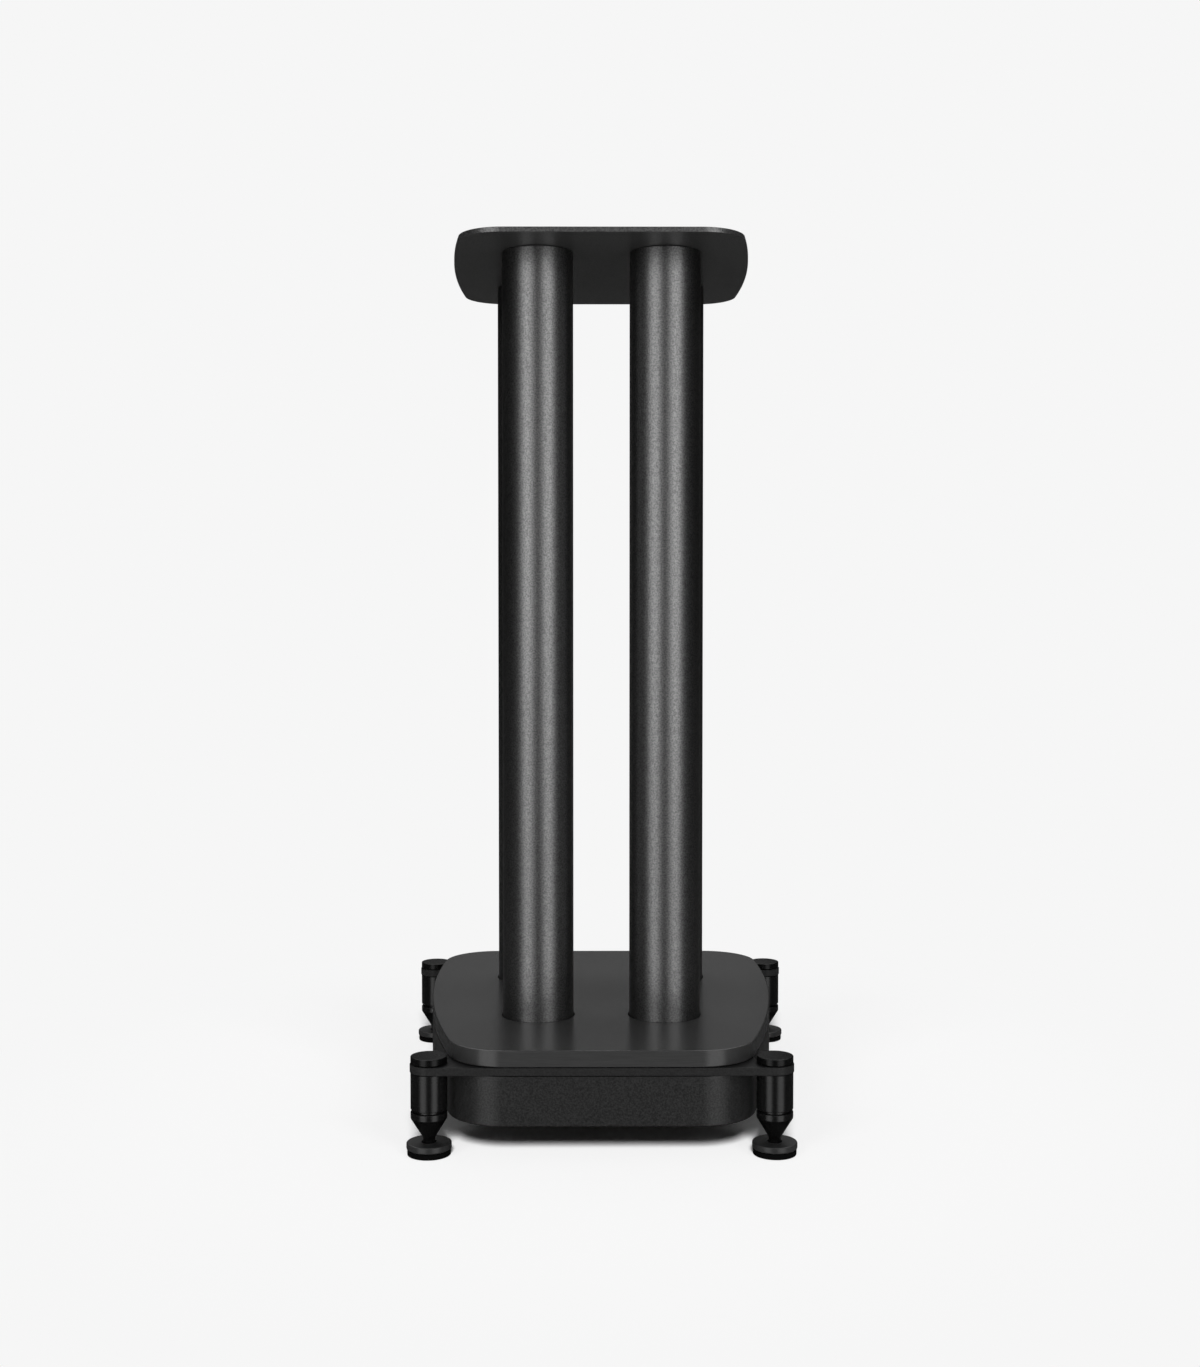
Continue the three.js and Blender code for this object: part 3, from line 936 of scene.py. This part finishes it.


# The plate's upright edge is painted 2.4 times lighter than its faces: a painted highlight along the
# edge.
TOP_PLATE_COAT = PowderCoat(
    "top_plate_coat", Slot.TOP_PLATE, tone=0.047, wander=0.35, roughness=0.37, rough_wander=0.05,
    shine=0.25, metallic=0.4, grain=1.1, grain_depth=0.08, rim_gain=2.4, rim_metal=0.4,
)
COLUMN_COAT = PowderCoat(
    "column_coat", Slot.COLUMN, tone=0.15, wander=0.3, roughness=0.37, rough_wander=0.05,
    metallic=0.985, grain=1.1, grain_depth=0.08,
)
# The bar's level faces stay 2.3 times darker than its sides: painted shade on its top under the deck.
BAR_COAT = PowderCoat(
    "bar_coat", Slot.BAR, tone=0.007, wander=0.3, roughness=0.45, rough_wander=0.04,
    shine=0.15, grain=1.0, grain_depth=0.03, rim_gain=2.3,
)
BODY_SKIN = PowderCoat(
    "plinth_body_skin", Slot.BODY, tone=0.016, wander=0.5, roughness=0.38, rough_wander=0.05,
    shine=0.28, grain=1.1, grain_depth=0.1,
)
DECK_LACQUER = GrainedPanel(
    "plinth_deck_lacquer", Slot.DECK, tone=0.037, wander=0.12, roughness=0.24, shine=0.28
)
FOOT_BLACK = TurnedMetal("foot_black", Slot.FOOT, tone=0.003, roughness=0.3, shine=0.35)
CAP_BLACK = TurnedMetal("cap_black", Slot.FOOT, tone=0.003, roughness=0.28, shine=0.16)
DISC_BLACK = TurnedMetal(
    "disc_black", Slot.DISC, tone=0.025, roughness=0.34, rough_wander=0.04, shine=0.3
)
PAD_RUBBER = MouldedRubber(
    "pad_rubber", Slot.PAD, tone=0.002, wander=0.2, roughness=0.8, rough_wander=0.08, shine=0.05
)
PLUG_STEEL = TurnedMetal(
    "plug_steel", Slot.STEEL, tone=0.5, wander=0.06, roughness=0.3, rough_wander=0.06,
    metallic=1.0, ring_depth=0.01,
)
SCREW_BLACK = TurnedMetal(
    "screw_black", Slot.FASTENER, tone=0.02, roughness=0.38, rough_wander=0.05, ring=0.4
)


# ---------- sub-assemblies ----------


@dataclass
class SpeakerPlate:
    """The plate that the loudspeaker stands on, and the four countersunk screws through it."""

    plan: Plan = Plan(
        half_length=123.5, widest=218, widest_at=44, side_radius=850, front_corner=31, rear_corner=30
    )
    edge: float = 0.3
    sink_edge: float = 0.15
    screw_radius: float = 2.5
    head_radius: float = 5.0
    head_rim: float = 0.3
    head_edge: float = 0.12
    head_below_face: float = 0.1
    thread_pitch: float = 0.8
    thread_lap: float = 0.1  # how far the thread runs up into the head
    socket: float = 3.0
    socket_depth: float = 1.9

    def head_profile(self, grow: float, face: float) -> list[Point]:
        """The cone of a screw head, from its neck to its rim.

        Args:
            grow: What is added to both radii.
            face: Height of the head's face.

        Returns:
            The neck, the foot of the rim and its top.
        """
        rim_low = face - self.head_rim
        neck = rim_low - (self.head_radius - self.screw_radius)
        head, shank = self.head_radius + grow, self.screw_radius + grow
        return [(shank, neck), (head, rim_low), (head, face)]

    def build(self) -> None:
        """Builds the plate and its screws."""
        room = Room.of("top_plate")
        face = room.top - self.head_below_face
        blank = self.plan.blank(room.bottom, room.top).rounded(self.edge)
        neck, rim, _ = self.head_profile(RUNNING_FIT, face)
        foot, mouth = (neck[0], room.below), (rim[0], room.above)
        sink = [(0, room.below), foot, neck, rim, mouth, (0, room.above)]
        for corner in Corner:
            centre = corner.room("plate_screw").centre
            blank.cut(Blank.turned(sink, SMALL_TURN_STEPS).moved(centre.x, centre.y))
            self.build_screw(corner, face)
        blank.rounded(self.sink_edge, lambda middle: middle.z > room.top - TOUCH, 2)
        blank.set_down("top_plate", TOP_PLATE_COAT)

    def build_screw(self, corner: Corner, face: float) -> None:
        """Builds one screw.

        Args:
            corner: Where it sits.
            face: Height of its head's face.
        """
        node = corner.node("plate_screw")
        room = Room.of(node)
        neck, rim, top = self.head_profile(0.0, face)
        head = Blank.turned([(0, neck[1]), neck, rim, top, (0, face)], SMALL_TURN_STEPS)
        head.rounded(self.head_edge, lambda middle: middle.z > rim[1] - TOUCH, 2)
        shank_top = neck[1] + self.thread_lap
        head.fused(Blank.thread(self.screw_radius, self.thread_pitch, room.bottom, shank_top))
        head.cut(Blank.hexagon(self.socket, face - self.socket_depth, face + OVERRUN))
        head.set_down(node, SCREW_BLACK, room.centre)


@dataclass
class ColumnSet:
    """One column with the two steel plugs in its ends and the bolt that holds it down."""

    corner: Corner
    wall: float = 2.0
    end_edge: float = 0.4
    plug_edge: float = 0.8
    washer_edge: float = 0.2
    bolt: SocketScrew = SocketScrew(radius=4.0, pitch=1.25, head_radius=6.5, head_height=8.0, socket=6.0)

    def build(self) -> None:
        """Builds the column, its plugs, its washer and its bolt."""
        node = self.corner.node("column")
        room = Room.of(node)
        tube = Blank.ring(room.radius - self.wall, room.radius, room.bottom, room.top, TURN_STEPS)
        tube.rounded(self.end_edge).set_down(node, COLUMN_COAT, room.centre)
        self.build_ring("column_top_plug", SpeakerPlate.screw_radius, self.plug_edge)
        self.build_ring("column_base_plug", self.bolt.radius, self.plug_edge)
        self.build_ring("column_bolt_washer", self.bolt.radius, self.washer_edge)
        self.bolt.build(self.corner.node("column_bolt"))

    def build_ring(self, kind: str, screw_radius: float, edge: float) -> None:
        """Builds a plug or a washer.

        Args:
            kind: Which of them.
            screw_radius: Radius of the screw that passes it.
            edge: Width of its chamfers.
        """
        node = self.corner.node(kind)
        room = Room.of(node)
        bore = screw_radius + RUNNING_FIT
        ring = Blank.ring(bore, room.radius, room.bottom, room.top, SMALL_TURN_STEPS)
        ring.rounded(edge, segments=1).set_down(node, PLUG_STEEL, room.centre)


@dataclass
class Plinth:
    """The thick lower body, the deck on it, the two bars between them and the screws."""

    plan: Plan = Plan(
        half_length=159.8, widest=258, widest_at=67, side_radius=750, front_corner=39, rear_corner=41
    )
    body_edge: float = 1.0
    deck_edge: float = 0.7
    bar_edge: float = 0.5
    hole_edge: float = 0.3
    column_gap_in_deck: float = 0.8
    column_gap_in_body: float = 0.4
    bolt_pocket_radius: float = 11.0
    bolt_pocket_depth: float = 13.0
    screw_pocket_radius: float = 6.2
    screw_pocket_depth: float = 11.0
    tapped_depth: float = 8.0
    seat_gap: float = 0.3
    stud_radius: float = 4.0
    screw: SocketScrew = SocketScrew(radius=3.0, pitch=1.0, head_radius=5.0, head_height=6.0, socket=5.0)

    def build(self) -> None:
        """Builds the plinth's pieces."""
        self.build_body()
        self.build_deck()
        for end in End:
            self.build_bar(end)
        for corner in Corner:
            self.screw.build(corner.node("plinth_screw"))

    def build_body(self) -> None:
        """Builds the lower body with its sockets, pockets and bar rebates."""
        room = Room.of("plinth_body")
        blank = self.plan.blank(room.bottom, room.top).rounded(self.body_edge)
        for end in End:
            bar = Room.of(end.node("outrigger_bar"))
            margins = (OVERRUN, self.seat_gap) if end is End.FRONT else (self.seat_gap, OVERRUN)
            near = Vector((room.low.x - OVERRUN, bar.low.y - margins[0], bar.bottom - self.seat_gap))
            far = Vector((room.high.x + OVERRUN, bar.high.y + margins[1], room.above))
            blank.cut(Blank.block(near, far))
        for corner in Corner:
            column = corner.room("column")
            screw = corner.room("plinth_screw").centre
            socket = column.radius + self.column_gap_in_body
            blank.drilled(column.centre, socket, column.bottom - self.seat_gap, room.above)
            blank.drilled(column.centre, self.stud_radius + RUNNING_FIT, room.below, room.above)
            pocket_top = room.bottom + self.bolt_pocket_depth
            blank.drilled(column.centre, self.bolt_pocket_radius, room.below, pocket_top)
            blank.drilled(screw, self.screw.radius + RUNNING_FIT, room.below, room.above)
            pocket_top = room.bottom + self.screw_pocket_depth
            blank.drilled(screw, self.screw_pocket_radius, room.below, pocket_top)
        blank.rounded(self.hole_edge, lambda middle: middle.z < room.bottom + TOUCH, 2)
        blank.set_down("plinth_body", BODY_SKIN)

    def build_deck(self) -> None:
        """Builds the deck with its column holes and the tapped holes under it."""
        room = Room.of("plinth_deck")
        blank = self.plan.blank(room.bottom, room.top).rounded(self.deck_edge, segments=4)
        for corner in Corner:
            column = corner.room("column")
            screw = corner.room("plinth_screw").centre
            hole = column.radius + self.column_gap_in_deck
            tapped_top = room.bottom + self.tapped_depth
            blank.drilled(column.centre, hole, room.below, room.above, TURN_STEPS)
            blank.drilled(screw, self.screw.radius + RUNNING_FIT, room.below, tapped_top)
        blank.rounded(self.hole_edge, lambda middle: middle.z > room.top - TOUCH, 2)
        blank.set_down("plinth_deck", DECK_LACQUER)

    def build_bar(self, end: End) -> None:
        """Builds one bar, flat with round ends.

        Args:
            end: The end of the stand that it is at.
        """
        node = end.node("outrigger_bar")
        room = Room.of(node)
        radius = room.size.y / 2
        reach = room.radius - radius
        y = room.centre.y
        blank = Blank()
        start = blank.bm.verts.new((reach, y - radius, room.bottom))
        blank.swept(start, (reach, y), math.pi, SMALL_TURN_STEPS)
        blank.moved(0, -y).closed_across().moved(0, y)  # closed while its ends lie round Y = 0
        blank.raised(room.top - room.bottom).rounded(self.bar_edge)
        for corner in Corner:
            if corner.end is end:
                screw = corner.room("plinth_screw").centre
                foot = corner.room("foot_barrel").centre
                blank.drilled(screw, self.screw.radius + RUNNING_FIT, room.below, room.above)
                blank.drilled(foot, self.stud_radius + RUNNING_FIT, room.below, room.above)
        blank.set_down(node, BAR_COAT)


@dataclass
class LevellingFoot:
    """One foot: cap with its stud, barrel, spike with its stud, floor disc and rubber pad."""

    corner: Corner
    stud_radius: float = 4.0
    stud_pitch: float = 1.25
    cap_thickness: float = 4.6
    cap_edge: float = 0.5
    barrel_edge: float = 0.45
    neck_radius: float = 10.0
    neck_length: float = 1.5
    ring_length: float = 4.2
    ring_edge: float = 0.45
    cone_length: float = 13.2
    pin_radius: float = 4.0
    pin_length: float = 4.6
    pin_dome: float = 1.5
    disc_edge: float = 0.9
    dish_radius: float = 5.0
    dish_floor_radius: float = 4.4
    dish_depth: float = 2.0
    dish_edge: float = 0.25
    pad_edge: float = 0.3

    def lay(self, kind: str, blank: Blank, finish: Finish, body: str = "") -> None:
        """Sets a piece down on the foot's axis.

        Args:
            kind: Which of the foot's nodes it stands for.
            blank: Its shape.
            finish: Its finish.
            body: What the moving body that carries it is called, if it moves.
        """
        carrier = f"{self.corner.node(body)}_body" if body else STAND_BODY
        axis = self.corner.room("foot_barrel").centre
        blank.set_down(self.corner.node(kind), finish, axis, carrier)

    def build(self) -> None:
        """Builds the foot's pieces."""
        self.build_cap()
        self.build_barrel()
        self.build_spike()
        self.build_disc()
        self.build_pad()

    def build_cap(self) -> None:
        """Builds the cap and the stud under it."""
        room = self.corner.room("foot_cap")
        low = room.top - self.cap_thickness
        cap = Blank.rod(room.radius, low, room.top, TURN_STEPS).rounded(self.cap_edge)
        stud_top = low + self.cap_edge
        cap.fused(Blank.thread(self.stud_radius, self.stud_pitch, room.bottom, stud_top))
        self.lay("foot_cap", cap, CAP_BLACK)

    def build_barrel(self) -> None:
        """Builds the tapped barrel."""
        room = self.corner.room("foot_barrel")
        bore = self.stud_radius + RUNNING_FIT
        barrel = Blank.ring(bore, room.radius, room.bottom, room.top, TURN_STEPS)
        self.lay("foot_barrel", barrel.rounded(self.barrel_edge), FOOT_BLACK)

    def build_spike(self) -> None:
        """Builds the spike: domed pin, cone, ring, neck and threaded stud."""
        room = self.corner.room("foot_spike")
        pin_top = room.bottom + self.pin_length
        cone_top = pin_top + self.cone_length
        ring_top = cone_top + self.ring_length
        shoulder = ring_top + self.neck_length
        dome = [math.radians(90 * step / DOME_STEPS - 90) for step in range(DOME_STEPS + 1)]
        dome_top = room.bottom + self.pin_dome
        outline = [
            *((self.pin_radius * math.cos(a), dome_top + self.pin_dome * math.sin(a)) for a in dome),
            (self.pin_radius, pin_top),
            (room.radius, cone_top),
            (room.radius, ring_top),
            (self.neck_radius, ring_top),
            (self.neck_radius, shoulder),
            (0, shoulder),
        ]
        spike = Blank.turned(outline)
        spike.rounded(self.ring_edge, lambda middle: middle.z > cone_top - OVERRUN)
        spike.fused(Blank.thread(self.stud_radius, self.stud_pitch, shoulder - OVERRUN, room.top))
        self.lay("foot_spike", spike, FOOT_BLACK, "spike")

    def build_disc(self) -> None:
        """Builds the dished floor disc."""
        room = self.corner.room("floor_disc")
        floor = room.top - self.dish_depth
        outline = [
            (0, room.bottom),
            (room.radius, room.bottom),
            (room.radius, room.top),
            (self.dish_radius, room.top),
            (self.dish_floor_radius, floor),
            (0, floor),
        ]
        disc = Blank.turned(outline)
        near_dish = self.dish_radius + OVERRUN
        disc.rounded(self.disc_edge, lambda middle: middle.xy.length > near_dish, 4)
        disc.rounded(self.dish_edge, lambda middle: middle.xy.length < near_dish, 2)
        self.lay("floor_disc", disc, DISC_BLACK, "floor_disc")

    def build_pad(self) -> None:
        """Builds the rubber pad under the disc."""
        room = self.corner.room("floor_pad")
        pad = Blank.rod(room.radius, room.bottom, room.top, TURN_STEPS).rounded(self.pad_edge)
        self.lay("floor_pad", pad, PAD_RUBBER, "floor_disc")


# ---------- studio ----------


class Reach(Enum):
    """What a lamp lights, by what it does with the surfaces of the set."""

    STAND = "EXCLUDE"
    FLOOR = "INCLUDE"


@dataclass
class Lamp:
    """A lamp that lights the stand alone or the floor alone."""

    reach: ClassVar[Reach]
    name: str

    def light(self) -> tuple[bpy.types.Light, Vector, Vector]:
        """The lamp's light, where it hangs and the way that it faces."""
        raise NotImplementedError

    def build(self, surfaces: Sequence[Item]) -> None:
        """Hangs the lamp, out of the camera's sight.

        Args:
            surfaces: The surfaces of the set.
        """
        data, position, towards = self.light()
        lamp = bpy.data.objects.new(self.name, data)
        lamp.location = position
        lamp.rotation_mode = "QUATERNION"
        lamp.rotation_quaternion = towards.to_track_quat("-Z", "Y")
        lamp.visible_camera = False
        bpy.context.scene.collection.objects.link(lamp)
        linked = bpy.data.collections.new(f"{self.name}_link")
        for item in surfaces:
            linked.objects.link(item)
        for entry in linked.collection_objects:
            entry.light_linking.link_state = self.reach.value
        lamp.light_linking.receiver_collection = linked


@dataclass
class SoftBox(Lamp):
    """A large soft lamp. A radiance of 1 is as bright as white paper."""

    reach = Reach.STAND
    position: Vector
    aim: Vector
    width: float
    height: float
    radiance: float

    def light(self) -> tuple[bpy.types.Light, Vector, Vector]:
        """Makes the lamp's light.

        Returns:
            The light, where it hangs and the way that it faces.
        """
        data = bpy.data.lights.new(self.name, "AREA")
        data.shape = "RECTANGLE"
        data.size = self.width
        data.size_y = self.height
        data.energy = self.radiance * math.pi * self.width * self.height
        return data, self.position, self.aim - self.position


@dataclass
class Wash(Lamp):
    """Even light from far in front, which lays the stand's shadow behind it."""

    reach = Reach.FLOOR
    distance: ClassVar[float] = 4.0  # metres, which make no difference to its light
    bearing: float  # degrees to the right of straight in front
    elevation: float  # degrees above the floor
    softness: float  # degrees across, as seen from the stand
    level: float  # brightness of white paper laid on the floor

    def light(self) -> tuple[bpy.types.Light, Vector, Vector]:
        """Makes the lamp's light.

        Returns:
            The light, where it hangs and the way that it faces.
        """
        data = bpy.data.lights.new(self.name, "SUN")
        rise, turn = math.radians(self.elevation), math.radians(self.bearing)
        data.angle = math.radians(self.softness)
        data.energy = self.level * math.pi / math.sin(rise)
        level_way = Vector((-math.sin(turn), math.cos(turn), 0))
        way = level_way * math.cos(rise) - Vector((0, 0, math.sin(rise)))
        return data, way * -self.distance, way


@dataclass
class Studio:
    """The camera at the photograph's angle, the lamps, and the surfaces round the stand."""

    frame_width: float = 1200.0  # pixels
    frame_height: float = 1367.0
    focal_pixels: float = 1620.0
    principal_row: float = 672.16
    sensor: float = 36.0
    camera_place: Vector = field(default_factory=lambda: Vector((-5.56, -1205.04, 351.19)))
    camera_pitch: float = 0.03189  # down, in radians
    camera_yaw: float = -0.00402
    pale: float = 0.922  # linear level of the background
    ambient: float = 0.08
    floor_albedo: float = 0.85
    floor_half: float = 6.0  # metres
    floor_drop: float = 0.0003
    plain_from: float = 0.28  # metres from the middle, where the floor starts to go plain
    plain_at: float = 0.5
    flag_radius: float = 1.75  # the dark cloth all round the back
    flag_height: float = 2.0
    flag_glow: float = 0.005
    card_radius: float = 1.74  # the grey card behind the stand
    card_span: Point = (0.36, 0.72)
    card_half: float = math.radians(11)
    card_glow: float = 0.25
    table_rise: float = 0.0001
    table_roughness: float = 0.1
    table_slant: Point = (0.45, 0.7)  # how slanting a look has to be for the glass to mirror
    table_shine: float = 0.9
    lit: list[Item] = field(default_factory=list)  # surfaces that the washes alone light

    def build(self) -> None:
        """Builds everything round the stand."""
        bpy.context.scene.view_settings.view_transform = "Standard"  # colours as written
        self.build_camera()
        self.build_world()
        self.build_floor()
        self.build_cloth("dark_flag", self.flag_radius, (0, self.flag_height), math.pi, self.flag_glow)
        self.build_cloth("grey_card", self.card_radius, self.card_span, self.card_half, self.card_glow)
        self.build_table()
        for lamp in self.lamps():
            lamp.build(self.lit)

    def lamps(self) -> list[SoftBox | Wash]:
        """The lamps: two tall strips in front, one overhead, and the floor's three washes.

        Returns:
            The lamps, in the order in which they are made.
        """
        strip = {"aim": Vector((0, 0, 0.42)), "width": 0.64, "height": 1.04, "radiance": 2.7}
        side = {"elevation": 33.0, "softness": 20.0, "level": 0.045}
        above, back = Vector((0, 0.8, 1.75)), Vector((0, 0.1, 0.3))
        return [
            SoftBox("left_strip", Vector((-0.6, -0.95, 0.56)), **strip),
            SoftBox("right_strip", Vector((0.58, -0.94, 0.56)), **strip),
            SoftBox("overhead", above, back, width=2.4, height=1.8, radiance=2.9),
            Wash("floor_wash", 0.0, elevation=35.5, softness=15.0, level=0.93),
            Wash("floor_wash_left", -35.0, **side),
            Wash("floor_wash_right", 35.0, **side),
        ]

    def build_camera(self) -> None:
        """Sets the camera where the photograph was taken from."""
        long_side = max(self.frame_width, self.frame_height)
        data = bpy.data.cameras.new("photo_camera")
        data.sensor_width = self.sensor
        data.lens = self.focal_pixels / long_side * self.sensor
        data.shift_y = (self.principal_row - self.frame_height / 2) / long_side
        data.clip_start = 0.01
        data.clip_end = 100
        camera = bpy.data.objects.new("photo_camera", data)
        camera.location = self.camera_place * MM
        camera.rotation_euler = (math.pi / 2 - self.camera_pitch, 0, self.camera_yaw)
        bpy.context.scene.collection.objects.link(camera)
        bpy.context.scene.camera = camera

    def build_world(self) -> None:
        """A pale surround where it is seen, and a dim one as light."""
        sheet = NodeSheet(bpy.data.worlds.new("studio"))
        level = sheet.ranged(sheet.seen(), self.ambient, self.pale, WHOLE)
        sheet.show(sheet.out("Background", "Background", {"Color": WHITE, "Strength": level}))
        bpy.context.scene.world = sheet.owner

    def staged(
        self, name: str, bm: bmesh.types.BMesh, material: bpy.types.Material, hidden: bool
    ) -> Item:
        """Puts a surface of the set in the scene.

        Args:
            name: Its name.
            bm: Its shape, in metres.
            material: Its material.
            hidden: Whether it is seen in reflections alone.

        Returns:
            The object.
        """
        mesh = bpy.data.meshes.new(name)
        bm.to_mesh(mesh)
        bm.free()
        mesh.materials.append(material)
        item = bpy.data.objects.new(name, mesh)
        bpy.context.scene.collection.objects.link(item)
        for ray in ("camera", "diffuse", "transmission", "shadow"):
            setattr(item, f"visible_{ray}", not hidden)
        return item

    def build_floor(self) -> None:
        """A pale floor that takes the stand's shadow, goes plain further out, and has no underside."""
        bm = bmesh.new()
        bmesh.ops.create_grid(bm, x_segments=1, y_segments=1, size=self.floor_half)
        bmesh.ops.translate(bm, verts=bm.verts, vec=(0, 0, -self.floor_drop))
        sheet = NodeSheet(bpy.data.materials.new("pale_floor"))
        matt = sheet.out("BsdfDiffuse", "BSDF", {"Color": (*grey(self.floor_albedo), 1)})
        glow = sheet.out("Emission", "Emission", {"Color": WHITE, "Strength": self.pale})
        distance = sheet.out("VectorMath", "Value", {0: sheet.place()}, operation="LENGTH")
        fade = sheet.ranged(distance, 0.0, 1.0, (self.plain_from, self.plain_at), "SMOOTHSTEP")
        share = sheet.out("Math", "Value", {0: fade, 1: sheet.seen()}, operation="MULTIPLY")
        upper = sheet.out("MixShader", "Shader", {"Fac": share, 1: matt, 2: glow})
        clear = sheet.out("BsdfTransparent", "BSDF")
        below = sheet.out("NewGeometry", "Backfacing")
        sheet.show(sheet.out("MixShader", "Shader", {"Fac": below, 1: upper, 2: clear}))
        self.lit.append(self.staged("floor", bm, sheet.owner, hidden=False))

    def build_cloth(self, name: str, radius: float, span: Point, half: float, glow: float) -> None:
        """An upright curved cloth round the back of the stand that only reflections see.

        Args:
            name: Its name.
            radius: Its distance from the stand's axis.
            span: Heights of its lower and upper edge.
            half: The angle that it covers on each side of straight behind.
            glow: How bright it looks.
        """
        sheet = NodeSheet(bpy.data.materials.new(f"{name}_cloth"))
        sheet.show(sheet.out("Emission", "Emission", {"Strength": glow}))
        sheet.owner.cycles.emission_sampling = "NONE"
        bm = bmesh.new()
        start = math.pi / 2 - half
        foot = Vector((math.cos(start), math.sin(start), 0)) * radius
        verts = [bm.verts.new(foot + Vector((0, 0, z))) for z in span]
        spun(bm, [*verts, bm.edges.new(verts)], 2 * half, SET_STEPS)
        self.lit.append(self.staged(name, bm, sheet.owner, hidden=True))

    def build_table(self) -> None:
        """A sheet of black glass on the floor that only reflections see."""
        sheet = NodeSheet(bpy.data.materials.new("black_glass"))
        slant = sheet.out("LayerWeight", "Facing")
        shine = sheet.ranged(slant, 0.0, self.table_shine, self.table_slant)
        mirror = {"Roughness": self.table_roughness, "Color": shine}
        sheet.show(sheet.out("BsdfGlossy", "BSDF", mirror))
        bm = bmesh.new()
        bmesh.ops.create_circle(bm, cap_ends=True, segments=SET_STEPS, radius=self.flag_radius)
        bmesh.ops.translate(bm, verts=bm.verts, vec=(0, 0, self.table_rise - self.floor_drop))
        self.staged("table", bm, sheet.owner, hidden=True)


def main() -> None:
    """Builds the studio, then each sub-assembly in order."""
    logging.basicConfig(level=logging.INFO, format="%(name)s: %(message)s")
    bpy.context.view_layer.update()
    Studio().build()
    SpeakerPlate().build()
    for corner in Corner:
        ColumnSet(corner).build()
    Plinth().build()
    for corner in Corner:
        LevellingFoot(corner).build()
    bpy.context.view_layer.update()


if __name__ == "__main__":
    main()
